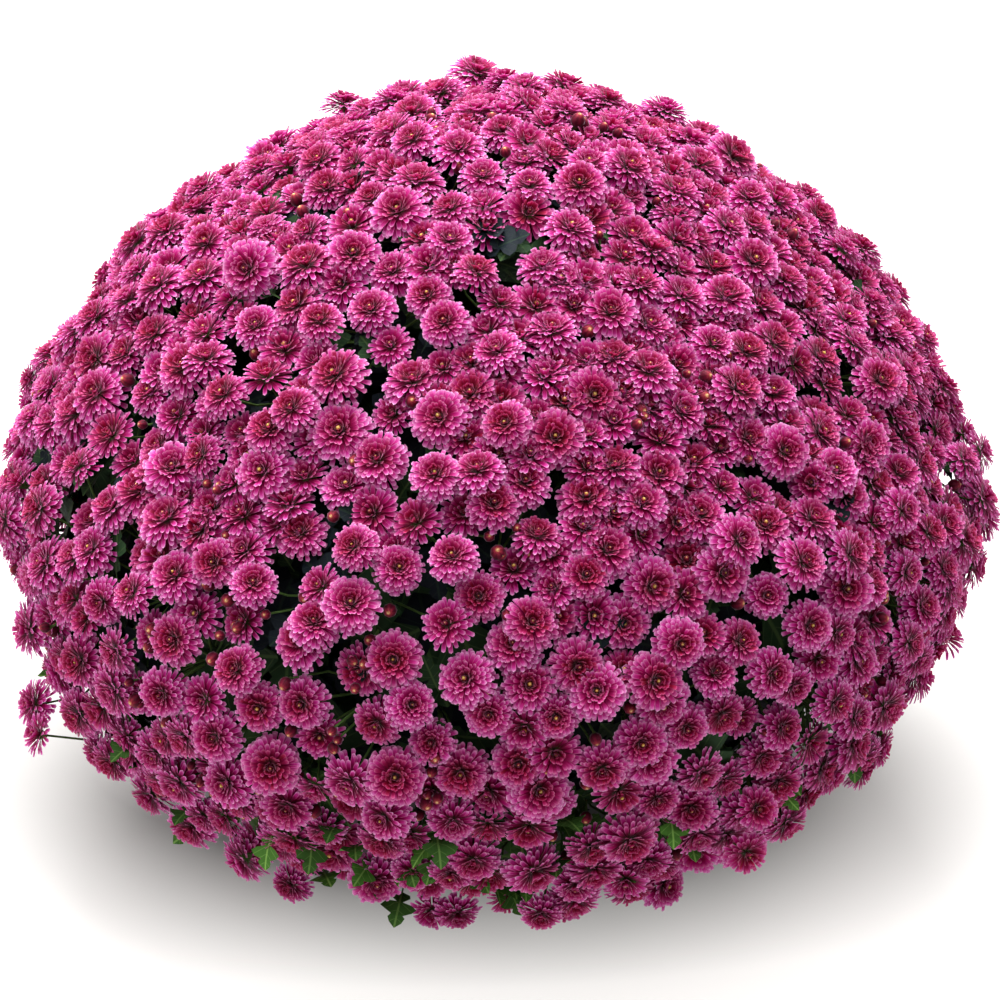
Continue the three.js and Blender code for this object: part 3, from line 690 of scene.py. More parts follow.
GREEN_STEM = 7
VEIN_SLOPE = 0.35
VEIN_WAVE = 34.0  # radians from foot to tip, with a side vein in every turn
LEAF_PAINTED_SHADE = (0.004, 0.007, 0.010, 1)
LEAF_LIT_GREEN = (0.045, 0.125, 0.018, 1)
VEIN_PAINTED_SHADE = (0.009, 0.018, 0.013, 1)
VEIN_LIT_GREEN = (0.15, 0.29, 0.06, 1)
STEM_DARK = (0.025, 0.06, 0.014, 1)
STEM_PALE = (0.08, 0.14, 0.035, 1)


def off_axis(ways):
    """For each way, a direction that doesn't lie along it."""
    return np.where(np.abs(ways[:, 2:]) > 0.9, (1.0, 0, 0), (0, 0, 1.0))


def spokes(first, second, sides):
    """Directions evenly all round, from two that stand square to each other."""
    turn = math.tau * np.arange(sides)[:, None] / sides
    return first[..., None, :] * np.cos(turn) + second[..., None, :] * np.sin(turn)


def ring_quads(rings, sides):
    """The faces between rings of points that follow each other."""
    k = np.arange(sides)
    following = (k + 1) % sides
    low = sides * np.arange(rings - 1)[:, None]
    high = low + sides
    return np.stack([low + k, low + following, high + following, high + k], -1).reshape(-1, 4)


def inset(share, margin):
    """A share from 0 to 1, drawn in by a margin at both ends."""
    return margin + (1 - 2 * margin) * share


def in_band(band, sides, offset=0.0):
    """Places across one band of the map for the points of a ring."""
    return band + inset((np.arange(sides) + offset) / sides, 0.1)


def tubes(paths, radii, sides):
    """Stems along paths of the same number of points: points, faces and places on the map."""
    paths = np.asarray(paths, float)
    count, steps = paths.shape[:2]
    radii = np.broadcast_to(np.asarray(radii, float), (count, steps))
    along = unit(np.gradient(paths, axis=1))
    chord = unit(paths[:, -1] - paths[:, 0])
    side = unit(np.cross(off_axis(chord)[:, None], along))
    ring = spokes(side, np.cross(along, side), sides)
    points = paths[:, :, None] + radii[:, :, None, None] * ring
    quads = copies(ring_quads(steps, sides), steps * sides, count)
    uv = np.zeros((count, steps, sides, 2))
    uv[..., 0] = inset(np.arange(steps) / (steps - 1), 0.02)[:, None]
    uv[..., 1] = in_band(GREEN_STEM, sides, 0.5) / GREEN_BANDS
    return points.reshape(-1, 3), [quads], uv.reshape(-1, 2)


def strayed(chance, most, shape):
    """Chance values from minus to plus the most."""
    return chance.uniform(-most, most, shape)


def lobed_leaves(feet, along, up, lengths, bands, chance, outline=LEAF_HALF):
    """Lobed leaves, arched along the rib and folded a little along it, with waved edges."""
    half = np.array(outline)
    count, rows = len(feet), len(half)
    side = unit(np.cross(up, along))
    over = np.cross(along, side)
    share = half[:, :1]
    width = half[:, 1:] * np.array((-1.0, 0.0, 1.0))
    # the rib bends down in an arch, and the halves fold up from it
    fold = chance.uniform(*LEAF_FOLD, (count, 1, 1))
    arch = chance.uniform(*LEAF_ARCH, (count, 1, 1))
    wave = strayed(chance, LEAF_WAVE, (count, rows, 3)) * np.abs(width)
    bent = share**2 * arch
    level = LEAF_SLENDER * np.abs(width) * fold - bent + wave
    level = level[..., None] * over[:, None, None]
    reach_out = (share - LEAF_ARCH_SHORTENS * bent * share)[..., None] * along[:, None, None]
    aside = (LEAF_SLENDER * width)[..., None] * side[:, None, None]
    points = feet[:, None, None] + np.asarray(lengths)[:, None, None, None] * (reach_out + aside + level)
    first = (3 * np.arange(rows - 1)[:, None] + np.arange(2)).reshape(-1, 1)
    quads = copies(first + (3, 4, 1, 0), 3 * rows, count)
    uv = np.zeros((count, rows, 3, 2))
    uv[..., 0] = inset(share, 0.01)
    uv[..., 1] = (np.asarray(bands)[:, None, None] + 0.5 + 0.47 * width) / GREEN_BANDS
    return points.reshape(-1, 3), [quads], uv.reshape(-1, 2)


def grow(name, parts, material, node):
    """One piece from several sets of points, faces and map places."""
    points = np.concatenate([part[0] for part in parts])
    uv = np.concatenate([part[2] for part in parts])
    by_corners = {}
    start = 0
    for part in parts:
        for group in part[1]:
            by_corners.setdefault(group.shape[1], []).append(group + start)
        start += len(part[0])
    faces = [np.concatenate(groups) for groups in by_corners.values()]
    piece_of(name, mesh_of(name, points, faces, uv), material, node)


def map_place(add, bands):
    """From a piece's own map: the place along, the band, and the place across the band from -1 to 1."""
    own_map = add("UVMap", uv_map="OFBake")
    along, up = add("SeparateXYZ", own_map).node.outputs[:2]
    scaled = add("Math", up, float(bands), operation="MULTIPLY")
    band = add("Math", scaled, operation="FLOOR")
    rest = add("Math", scaled, band, operation="SUBTRACT")
    across = add("Math", rest, 2.0, -1.0, operation="MULTIPLY_ADD")
    return along, band, across


def mixed(add, factor, first, second):
    """A mix of two colours, which are the last of the node's inputs."""
    skipped = [None] * 5
    return add("Mix", factor, *skipped, first, second, output=2, data_type="RGBA")


def leaf_veins(add, along, across):
    """The rib and the side veins that slope forward from it, as a share from 0 to 1."""
    off_rib = add("Math", across, operation="ABSOLUTE")
    rib = add("MapRange", off_rib, 0.03, 0.07, 1.0, 0.0)
    slope = add("Math", off_rib, -VEIN_SLOPE, along, operation="MULTIPLY_ADD")
    turn = add("Math", slope, VEIN_WAVE, operation="MULTIPLY")
    wave = add("Math", turn, operation="SINE")
    side_vein = add("MapRange", wave, 0.93, 1.0, 0.0, 0.6)
    return add("Math", rib, side_vein, operation="MAXIMUM")


def living_green():
    """Leaves and stems in one green: leaves painted from a near-black shade to a lit green, with paler
    veins, and smooth pale stems and calyxes.
    """
    material, shader, add, link = new_material("living_green")
    along, band, across = map_place(add, GREEN_BANDS)
    shade = add("Math", band, 1 / MOST_LIT_GREEN, operation="MULTIPLY")
    vein = leaf_veins(add, along, across)
    # painted shade and light: the darkest greens stand for leaves in shade inside the mound, the lightest
    # for lit ones
    blade = mixed(add, shade, LEAF_PAINTED_SHADE, LEAF_LIT_GREEN)
    blade = mixed(add, vein, blade, mixed(add, shade, VEIN_PAINTED_SHADE, VEIN_LIT_GREEN))
    mottle = add("TexNoise", add("CombineXYZ", along, across, band), None, 9.0, 4.0, 0.6)
    stem = mixed(add, add("MapRange", mottle, 0.3, 0.7, 0.0, 1.0), STEM_DARK, STEM_PALE)
    is_stem = add("Math", band, GREEN_CALYX - 0.5, operation="GREATER_THAN")
    link(mixed(add, is_stem, blade, stem), "Base Color")
    height = add("Math", vein, -0.6, mottle, operation="MULTIPLY_ADD")
    link(add("Bump", 0.35, 0.0006, None, height), "Normal")
    link(add("MapRange", mottle, 0.3, 0.7, 0.48, 0.66), "Roughness")
    shader.inputs["Specular IOR Level"].default_value = 0.06
    return material


GREEN = living_green()


def curved(start, end, bow, steps):
    """A path from start to end that bows aside in its middle."""
    share = np.linspace(0, 1, steps)[:, None]
    return start + (end - start) * share + 4 * share * (1 - share) * np.asarray(bow)


def main_stem(path):
    """A thick stem that thins from the crown to its bunch."""
    return tubes([path], [np.linspace(BRANCH_RADIUS, SHOOT_RADIUS, len(path))], STEM_SIDES)


def thin_stem(start, end, bow, steps):
    """A side shoot or a twig."""
    radii = np.linspace(TWIG_RADIUS, TWIG_TIP_RADIUS, steps)
    return tubes([curved(start, end, bow, steps)], [radii], STEM_SIDES)


def make_leader():
    """The stem straight up from the crown's top, and the side shoots that fork from it."""
    tip, normal = branch_end(0)
    foot = np.array((0, 0, CROWN_TOP))
    above = foot + (0, 0, LEADER_RISE)
    bend = tip - SEAT_LENGTH * normal
    rise = curved(above, bend, LEADER_BOW, LEADER_STEPS)
    parts = [main_stem(np.vstack([[foot], rise, [tip]]))]
    fork = above + (tip - above) * LEADER_FORK
    for k in range(LEADER_SHOOTS):
        angle = math.tau * (k + 0.5) / LEADER_SHOOTS
        end = polar(LEADER_SPREAD, angle, tip[2] - LEADER_SHORT)
        parts.append(thin_stem(fork, end, LEADER_SHOOT_BOW, LEADER_STEPS))
    grow("leader_stem", parts, GREEN, "leader")


def branch_leaves(angle, out, bend, fork, twig_end, chance):
    """Large leaves on the twig's end, and more along the twig and the branch in turn."""
    feet, ways, lengths, bands = [], [], [], []
    for back, turn, fall, size in TWIG_LEAVES:
        feet.append(twig_end + (fork - twig_end) * back)
        ways.append(polar(1, angle + turn, fall))
        lengths.append(LARGE_LEAF * size)
        bands.append(TWIG_LEAF_BAND)
    for k in range(BRANCH_LEAVES):
        share = BRANCH_LEAF_FIRST + BRANCH_LEAF_SPAN * (k + 0.5) / BRANCH_LEAVES
        on_twig = k % 2 == 0
        feet.append(fork + (twig_end - fork) * share if on_twig else out + (bend - out) * share)
        turn = (1 if k % 4 < 2 else -1) * chance.uniform(*BRANCH_LEAF_TURN)
        ways.append(polar(1, angle + turn, chance.uniform(*BRANCH_LEAF_FALL)))
        lengths.append(LARGE_LEAF * chance.uniform(*BRANCH_LEAF_SIZE))
        bands.append(chance.integers(*BRANCH_LEAF_BANDS))
    up = unit(UP + BRANCH_LEAF_ROLL * chance.standard_normal((len(feet), 3)))
    return lobed_leaves(np.array(feet), unit(np.array(ways)), up, lengths, bands, chance)


def make_leafy_branch(number, chance):
    """A branch from the knob's side to its bunch, with its side shoot, its twig and their leaves."""
    angle = math.tau * (number - 1) / BRANCHES
    tip, normal = branch_end(number)
    start = polar(KNOB_RADIUS * math.cos(math.pi / BRANCHES), angle, BRANCH_START_Z)
    out = polar(KNOB_RADIUS + BRANCH_LEVEL, angle, BRANCH_START_Z)
    bend = tip - SEAT_LENGTH * normal
    side_start = out + (bend - out) * SIDE_SHOOT_START
    side_end = polar(SIDE_SHOOT_END[0], angle + SIDE_SHOOT_TURN, SIDE_SHOOT_END[1])
    fork = out + (bend - out) * TWIG_START
    twig_end = polar(TWIG_END[0] * reach(angle, TWIG_END[1]), angle, TWIG_END[1])
    parts = [
        main_stem(np.vstack([[start], curved(out, bend, BRANCH_BOW, BRANCH_STEPS), [tip]])),
        thin_stem(side_start, side_end, SIDE_SHOOT_BOW, TWIG_STEPS),
        thin_stem(fork, twig_end, TWIG_BOW, TWIG_STEPS),
        branch_leaves(angle, out, bend, fork, twig_end, chance),
    ]
    name = f"leafy_branch_{number:02d}"
    grow(name + "_grown", parts, GREEN, name)


make_leader()
for branch_number in range(1, BRANCHES + 1):
    make_leafy_branch(branch_number, np.random.default_rng(BRANCH_SEED + branch_number))

# ---------------------------------------------------------------- bunches of blooms
# Every bloom is fully double: layers of thin, narrow petals round a dark eye, pale at the tip and
# crimson below, which lie flat at the edge and stand upright in the middle. Half-open blooms sit a
# little deeper between the others, and round maroon buds with a cream tip fill the gaps.
PETAL_BANDS = 8  # six shades of petals from deep to pale, then buds and eyes
BUD_BAND = 6
EYE_BAND = 7
PALEST_BAND = 5
PETAL_WIDTH = 0.0034
PETAL_NARROWEST = 0.35  # how wide a petal of no length would be, as a share of the longest ones' width
PETAL_THIN = 0.38  # the share of light that shines through a petal
PETAL_CUP = 0.2
WEDGE, SPOON = "wedge", "spoon"
PETAL_ROWS = {
    # place along the petal, width, and how much further its rib reaches
    WEDGE: ((0.0, 0.0, 0.0), (0.955, 0.9, 0.045)),
    SPOON: ((0.0, 0.0, 0.0), (0.66, 0.92, 0.0), (0.95, 0.80, 0.05)),
}
LONGEST_PETAL = 0.0154
OPEN_BLOOM = (
    # petals, shape, root radius, root height, length, rise and bend in degrees, and band
    (22, WEDGE, 0.0026, -0.0020, LONGEST_PETAL, -8, -26, 5),
    (26, SPOON, 0.0025, -0.0012, 0.0152, 5, -30, 5),
    (27, SPOON, 0.0023, -0.0004, 0.0143, 18, -30, 5),
    (26, SPOON, 0.0021, 0.0002, 0.0130, 31, -26, 4),
    (24, WEDGE, 0.0019, 0.0006, 0.0112, 44, -18, 2),
    (21, WEDGE, 0.0017, 0.0008, 0.0092, 56, -6, 1),
    (17, WEDGE, 0.0015, 0.0008, 0.0072, 66, 6, 0),
    (10, WEDGE, 0.0012, 0.0008, 0.0054, 75, 16, 0),
)
HALF_BLOOM = (
    (24, SPOON, 0.0023, -0.0014, 0.0144, 14, -22, 5),
    (22, SPOON, 0.0021, -0.0006, 0.0132, 30, -18, 4),
    (19, WEDGE, 0.0018, 0.0, 0.0113, 46, -6, 2),
    (14, WEDGE, 0.0015, 0.0003, 0.0090, 61, 12, 1),
    (8, WEDGE, 0.0012, 0.0004, 0.0064, 75, 26, 0),
)
PETAL_PLACE_STRAY = 0.3  # of the space from petal to petal
PETAL_RISE_STRAY = 0.15
LAYER_RISE_STRAY = 0.09
PETAL_BEND_STRAY = 0.1
PETAL_LENGTH_STRAY = 0.1
PETAL_TWIST = 0.24
LEAST_BEND = 0.02
ODD_PETALS = 0.4  # the share of petals that may be a shade deeper or paler than their layer
BLOOM_TONES = (-1, 0, 0, 1)
DEEP_PETAL = (
    # place along the petal, and its colour on the 0 to 255 screen scale
    (0.0, 60, 0, 14),
    (0.4, 100, 2, 30),
    (0.74, 132, 8, 48),
    (0.9, 164, 34, 82),
    (1.0, 206, 92, 142),
)
PALE_PETAL = (
    (0.0, 78, 0, 32),
    (0.35, 136, 0, 68),
    (0.62, 176, 14, 106),
    (0.82, 196, 52, 144),
    (0.93, 214, 120, 184),
    (1.0, 240, 204, 230),
)
PETAL_RIM = (228, 150, 200)
STREAK_WAVE = 15.0  # radians from the rib to the rim
BUD_SKIN = (
    (0.0, 66, 60, 30),
    (0.15, 70, 14, 34),
    (0.7, 104, 14, 44),
    (0.88, 160, 50, 66),
    (0.95, 232, 176, 116),
    (1.0, 255, 244, 200),
)
EYE_DISC = (
    (0.0, 50, 4, 20),
    (0.6, 92, 10, 40),
    (0.76, 150, 60, 50),
    (0.86, 220, 164, 80),
    (1.0, 250, 230, 150),
)
BUD_SHAPE = ((0.0, 0.62), (0.3, 1.0), (0.62, 0.93), (0.86, 0.55))
BUD_SIDES = 8
PAINTED_GROOVE_WAVE = 26.0  # radians round half a bud, for stripes of painted shade in grooves
EYE_SHAPE = ((0.0, 0.95), (0.78, 0.72))
EYE_SIDES = 6
EYE_WIDTH = (0.0014, 0.0026)
EYE_HEIGHT = (0.0052, 0.0073)
YOUNG_EYES = 0.45  # the share of eyes that are still closed, and coloured as a bud
BLOOM_SEED = 200


def frames_round(axes, chance):
    """Two directions across each axis, turned at random."""
    first = unit(np.cross(off_axis(axes), axes))
    second = np.cross(axes, first)
    turn = chance.uniform(0, math.tau, (len(axes), 1))
    return first * np.cos(turn) + second * np.sin(turn), second * np.cos(turn) - first * np.sin(turn)


def petal_template(shape):
    """A petal's points as (place along, place across, width), and its faces."""
    points, rows = [], []
    faces = {3: [], 4: []}
    for share, width, rib in PETAL_ROWS[shape]:
        start = len(points)
        if width == 0:
            points.append((share, 0, 0))
            rows.append((start, start, start))
        else:
            points.extend(((share, -1, width), (share + rib, 0, width), (share, 1, width)))
            rows.append((start, start + 1, start + 2))
    for low, high in zip(rows, rows[1:]):
        for lane in range(2):
            corners = (low[lane], high[lane], high[lane + 1], low[lane + 1])
            face = list(dict.fromkeys(corners))
            faces[len(face)].append(face)
    faces = [np.array(faces[corners], int).reshape(-1, corners) for corners in (4, 3)]
    return np.array(points, float), faces


def petal_shades(band, tones, template, grid, chance):
    """Places on the map: the layer's shade, which each bloom and some odd petals change a little."""
    odd = chance.integers(-1, 2, grid) * (chance.random(grid) < ODD_PETALS)
    shade = np.clip(band + tones[:, None] + odd, 0, PALEST_BAND)
    uv = np.zeros((*grid, len(template), 2))
    uv[..., 0] = inset(template[:, 0], 0.01)
    uv[..., 1] = (shade[..., None] + 0.5 + 0.45 * template[:, 1]) / PETAL_BANDS
    return uv.reshape(-1, 2)


def layer_of_petals(layer, places, axes, first, second, sizes, tones, chance):
    """One layer of petals for many blooms at once."""
    petals, shape, root, root_height, length, rise, bend, band = layer
    template, faces = petal_template(shape)
    count = len(places)
    grid = (count, petals)
    # where the petals stand round the bloom
    turn = math.tau * (np.arange(petals) + PETAL_PLACE_STRAY * strayed(chance, 1, grid)) / petals
    turn = turn + chance.uniform(0, math.tau, (count, 1))
    out = first[:, None] * np.cos(turn)[..., None] + second[:, None] * np.sin(turn)[..., None]
    axis = axes[:, None]
    tangent = np.cross(axis, out)
    # each petal is an arc, which sets out at its rise and bends evenly along its length
    bend = math.radians(bend) + strayed(chance, PETAL_BEND_STRAY, grid)
    bend = np.where(np.abs(bend) < LEAST_BEND, LEAST_BEND, bend)[..., None]
    start = math.radians(rise) + strayed(chance, PETAL_RISE_STRAY, grid)
    start = (start + strayed(chance, LAYER_RISE_STRAY, (count, 1)))[..., None]
    stretch = length * (1 + strayed(chance, PETAL_LENGTH_STRAY, grid))[..., None]
    share = template[:, 0]
    angle = start + bend * share
    forward = root + stretch * (np.sin(angle) - np.sin(start)) / bend
    upward = root_height + stretch * (np.cos(start) - np.cos(angle)) / bend
    # its blade is twisted a little about the rib and cupped across
    face = axis[:, :, None] * np.cos(angle)[..., None] - out[:, :, None] * np.sin(angle)[..., None]
    twist = strayed(chance, PETAL_TWIST, grid)[..., None, None]
    across = tangent[:, :, None] * np.cos(twist) + face * np.sin(twist)
    breadth = PETAL_WIDTH * (PETAL_NARROWEST + (1 - PETAL_NARROWEST) * length / LONGEST_PETAL)
    spread = template[:, 1] * template[:, 2]
    points = axis[:, :, None] * upward[..., None] + out[:, :, None] * forward[..., None]
    points = points + across * (0.5 * breadth * spread)[:, None]
    points = points + face * (PETAL_CUP * breadth * spread**2)[:, None]
    points = places[:, None, None] + sizes[:, None, None, None] * points
    faces = [copies(group, len(template), count * petals) for group in faces]
    return points.reshape(-1, 3), faces, petal_shades(band, tones, template, grid, chance)


def round_tops(places, axes, first, second, widths, heights, shape, sides, band):
    """Buds and eyes: rings of points up to a tip, open below where they are fixed."""
    count, rings = len(places), len(shape)
    round_out = spokes(first, second, sides)
    band = np.broadcast_to(band, count)[:, None]
    points = np.zeros((count, rings * sides + 1, 3))
    uv = np.zeros((count, rings * sides + 1, 2))
    for ring, (share, breadth) in enumerate(shape):
        rows = slice(ring * sides, (ring + 1) * sides)
        middle = places + axes * (heights * share)[:, None]
        points[:, rows] = middle[:, None] + round_out * (widths * breadth)[:, None, None]
        uv[:, rows, 0] = 0.02 + 0.92 * share
        uv[:, rows, 1] = in_band(band, sides) / PETAL_BANDS
    points[:, -1] = places + axes * heights[:, None]
    uv[:, -1, 0] = 0.99
    uv[:, -1, 1] = (band[:, 0] + 0.5) / PETAL_BANDS
    k = np.arange(sides)
    top = (rings - 1) * sides
    tip = np.full(sides, rings * sides)
    triangles = np.stack([top + k, top + (k + 1) % sides, tip], 1)
    faces = [copies(group, rings * sides + 1, count) for group in (ring_quads(rings, sides), triangles)]
    return points.reshape(-1, 3), faces, uv.reshape(-1, 2)


def from_screen(red, green, blue):
    """A linear colour from one on the 0 to 255 screen scale."""
    return (*((part / 255) ** 2.2 for part in (red, green, blue)), 1)


def along_petal(add, along, stops):
    """The colour at a place along a petal, bud or eye."""
    return colour_ramp(add, along, [(place, from_screen(*colour)) for place, *colour in stops])


def petal_rim(add, along, across, shade):
    """How pale the petal's rim is: most towards the tip, and on the outer petals."""
    off_rib = add("Math", across, operation="ABSOLUTE")
    rim = add("MapRange", off_rib, 0.6, 1.0, 0.0, 0.7)
    near_tip = add("MapRange", along, 0.3, 0.85, 0.0, 1.0)
    outer = add("MapRange", shade, 0.0, 1.0, 0.3, 1.0)
    rim = add("Math", rim, near_tip, operation="MULTIPLY")
    return add("Math", rim, outer, operation="MULTIPLY")


def striped(add, across, turns, wave):
    """A wave from -1 to 1 across a petal or round a bud."""
    return add("Math", add("Math", across, turns, operation="MULTIPLY"), operation=wave)


def petal_colour(add, along, band, across, streak):
    """From crimson throats to pale tips, in six shades, with a pale rim and fine streaks."""
    shade = add("Math", band, 1 / PALEST_BAND, operation="MULTIPLY")
    petal = mixed(add, shade, along_petal(add, along, DEEP_PETAL), along_petal(add, along, PALE_PETAL))
    petal = mixed(add, petal_rim(add, along, across, shade), petal, from_screen(*PETAL_RIM))
    light = add("MapRange", streak, -1.0, 1.0, 1.04, 0.9)
    return add("HueSaturation", 0.5, 1.0, light, 1.0, petal)


def ball_colour(add, along, band, across):
    """Maroon buds with a cream tip, and eyes with a golden one, both striped with painted shade for grooves
    between ridges.
    """
    is_eye = add("Math", band, EYE_BAND - 0.5, operation="GREATER_THAN")
    ball = mixed(add, is_eye, along_petal(add, along, BUD_SKIN), along_petal(add, along, EYE_DISC))
    # painted shade: darker stripes stand for grooves between ridges that the smooth buds and eyes don't
    # have
    light = add("MapRange", striped(add, across, PAINTED_GROOVE_WAVE, "SINE"), -1.0, 0.4, 0.55, 1.0)
    return add("HueSaturation", 0.5, 1.0, light, 1.0, ball)


def soft_petal():
    """Matt petals that light shines through, and the buds and eyes between them."""
    material, shader, add, link = new_material("magenta_petal")
    along, band, across = map_place(add, PETAL_BANDS)
    streak = striped(add, across, STREAK_WAVE, "COSINE")
    petal = petal_colour(add, along, band, across, streak)
    ball = ball_colour(add, along, band, across)
    is_ball = add("Math", band, BUD_BAND - 0.5, operation="GREATER_THAN")
    colour = mixed(add, is_ball, petal, ball)
    link(colour, "Base Color")
    link(add("Bump", 0.25, 0.0003, None, streak), "Normal")
    shader.inputs["Roughness"].default_value = 0.5
    shader.inputs["Specular IOR Level"].default_value = 0.12
    shader.inputs["Sheen Weight"].default_value = 0.42
    shader.inputs["Sheen Roughness"].default_value = 0.35
    shader.inputs["Sheen Tint"].default_value = (1.0, 0.75, 0.93, 1)
    through = add("BsdfTranslucent", colour)
    both = add("MixShader", PETAL_THIN, shader.outputs["BSDF"], through)
    tree = material.node_tree
    tree.links.new(both, tree.nodes["Material Output"].inputs["Surface"])
    return material


PETALS = soft_petal()

# How the blooms and buds are spread over the mound. A bloom's size is a share of the full one above.
PLAN_SEED = 5
OPEN_SIZE = (0.81, 1.10)
REAR_SIZE = (0.80, 1.02)
HALF_SIZE = (0.84, 1.06)
BLOOM_SEAT = 0.0075  # how far a bloom's foot lies behind its face
BLOOM_SLIP = 0.005
BLOOM_LOOK_UP = math.radians(15)
BLOOM_NOD = 0.168
LIFT_STRAY = 0.003
CLUMP_LIFT = 0.013  # how far a clump of blooms may stand out or sink in
CLUMPS_PER_METRE = 11
TOP_SINK = 0.006  # how far the blooms at the top lie below the mound's smooth form
TOP_SINK_START = 0.43
TOP_SINK_RISE = 0.08
REAR_DROP = 0.006
REAR_HALF_OPEN = 0.45
HALF_BLOOMS = 495
HALF_DROP = 0.0065
GAP_DROP = 0.011
ROOM_STRAY = (0.9, 1.1)
GAP_CALL = 1.15  # how much more a gap with buds draws half-open blooms than other spots
UPPER_CALL = 0.15  # how much fuller the upper mound is filled than its middle, and the lower one less
UPPER_RISE = 0.15
OPEN_CALL = 0.4  # how much more open the mound is on its shaded side
OPEN_ANGLE = math.radians(240)
PATCH_CALL = 0.4  # and in some patches
PATCHES_PER_METRE = 7
SKIRT_BLOOMS = 42
SKIRT_HEIGHT = (0.042, 0.076)
SKIRT_SAG = 0.012  # how much lower the blooms hang at the front, and how much higher at the back
SKIRT_SAG_ANGLE = math.radians(245)
SKIRT_INSET = (0.01, 0.05)
SKIRT_DRAWN_IN = 0.4
SKIRT_FALL = (-0.5, 0.2)
SKIRT_STRAY = 0.35
LOW_HALF_OPEN = 0.75
LOW_NOD = 0.2
STRAY_BLOOMS = 8
STRAY_HEIGHT = (0.10, 0.17)
STRAY_INSET = 0.018
STRAY_REACH = (0, 0.012)
STRAY_FALL = (-0.1, 0.5)
BUDS = 240
BUDS_PER_GAP = 3
BUD_WIDTH = (0.0028, 0.0047)
BUD_DEPTH = (0.003, 0.009)
BUD_ASIDE = 0.0085
BUD_NOD = 0.2


def looking_up(normals, chance):
    """The ways that blooms face: outwards, a little more to the light, each with its own nod."""
    turned_up = unit(normals) + math.tan(BLOOM_LOOK_UP) * (UP - normals * normals[:, 2:])
    return unit(unit(turned_up) + BLOOM_NOD * chance.standard_normal(normals.shape))


def uneven(places, per_metre):
    """A smooth chance value from -1 to 1 for each place."""
    return np.array([noise.noise(Vector(place) * per_metre) for place in places])


def front_blooms(chance):
    """The blooms at the mound's places, in clumps that rise and fall a little."""
    axes = looking_up(SITE_NORMAL, chance)
    slip = strayed(chance, BLOOM_SLIP, SITE_BASE.shape)
    drop = BLOOM_SEAT + REAR_DROP * SITE_REAR
    lift = CLUMP_LIFT * uneven(SITE_BASE, CLUMPS_PER_METRE)
    lift = lift + strayed(chance, LIFT_STRAY, BLOOM_SITES)
    lift -= TOP_SINK * np.clip((SITE_BASE[:, 2] - TOP_SINK_START) / TOP_SINK_RISE, 0, 1)
    places = SITE_BASE + slip + SITE_NORMAL * lift[:, None] - axes * drop[:, None]
    rear_sizes = chance.uniform(*REAR_SIZE, BLOOM_SITES)
    sizes = np.where(SITE_REAR, rear_sizes, chance.uniform(*OPEN_SIZE, BLOOM_SITES))
    half = SITE_REAR & (chance.random(BLOOM_SITES) < REAR_HALF_OPEN)
    keep = ~SITE_GAP
    return places[keep], axes[keep], sizes[keep], half[keep], SITE_BUNCH[keep]


def room_between(middles, facing, chance):
    """How much room there is for one more bloom between each three neighbours."""
    edges = SITE_BASE[SITE_TRIPLES[:, 1:]] - SITE_BASE[SITE_TRIPLES[:, :1]]
    room = np.linalg.norm(np.cross(edges[:, 0], edges[:, 1]), axis=1)
    room *= chance.uniform(*ROOM_STRAY, len(room))
    room[SITE_GAP[SITE_TRIPLES].any(1)] *= GAP_CALL
    room *= 1 + UPPER_CALL * np.clip((middles[:, 2] - WIDE_Z) / UPPER_RISE, -1, 1)
    room *= 1 - OPEN_CALL * np.clip(facing @ polar(1, OPEN_ANGLE, 0), 0, 1) ** 2
    room *= 1 + PATCH_CALL * uneven(middles, PATCHES_PER_METRE)
    return room


def second_tier(places, ways, bunches, chance):
    """Half-open blooms that sit deeper, in the roomiest spots and in the gaps with buds."""
    axes = looking_up(np.concatenate([ways, SITE_NORMAL[SITE_GAP]]), chance)
    places = np.concatenate([places, SITE_BASE[SITE_GAP]]) - axes * BLOOM_SEAT
    drop = np.repeat((HALF_DROP, GAP_DROP), (len(ways), SITE_GAP.sum()))
    sizes = chance.uniform(*HALF_SIZE, len(axes))
    bunches = np.concatenate([bunches, SITE_BUNCH[SITE_GAP]])
    return places - axes * drop[:, None], axes, sizes, np.ones(len(axes), bool), bunches


def low_blooms(chance):
    """Sprays that hang from the lower edge, lowest at the front, and a few that stand off its side."""
    angle = math.tau * (np.arange(SKIRT_BLOOMS) + strayed(chance, SKIRT_STRAY, SKIRT_BLOOMS))
    angle = angle / SKIRT_BLOOMS
    low = chance.uniform(*SKIRT_HEIGHT, SKIRT_BLOOMS) - SKIRT_SAG * np.cos(angle - SKIRT_SAG_ANGLE)
    inward = chance.uniform(*SKIRT_INSET, SKIRT_BLOOMS) + SKIRT_DRAWN_IN * (RIM_Z - low)
    places, axes = [], []
    for turn, z, inset in zip(angle, low, inward):
        places.append(polar((RIM_RADIUS - inset) * reach(turn, RIM_Z), turn, z))
        axes.append(polar(1, turn, chance.uniform(*SKIRT_FALL)))
    for k in range(STRAY_BLOOMS):
        turn = chance.uniform(0, math.tau)
        z = chance.uniform(*STRAY_HEIGHT)
        radius = WIDE_RADIUS - STRAY_INSET + chance.uniform(*STRAY_REACH)
        places.append(polar(radius * reach(turn, z), turn, z))
        axes.append(polar(1, turn, chance.uniform(*STRAY_FALL)))
    places = np.array(places)
    axes = unit(np.array(axes) + LOW_NOD * chance.standard_normal(places.shape))
    half = chance.random(len(places)) < LOW_HALF_OPEN
    sizes = chance.uniform(*REAR_SIZE, len(places))
    bunches = side_bunch_at(np.arctan2(places[:, 1], places[:, 0]))
    return places - BLOOM_SEAT * axes, axes, sizes, half, bunches


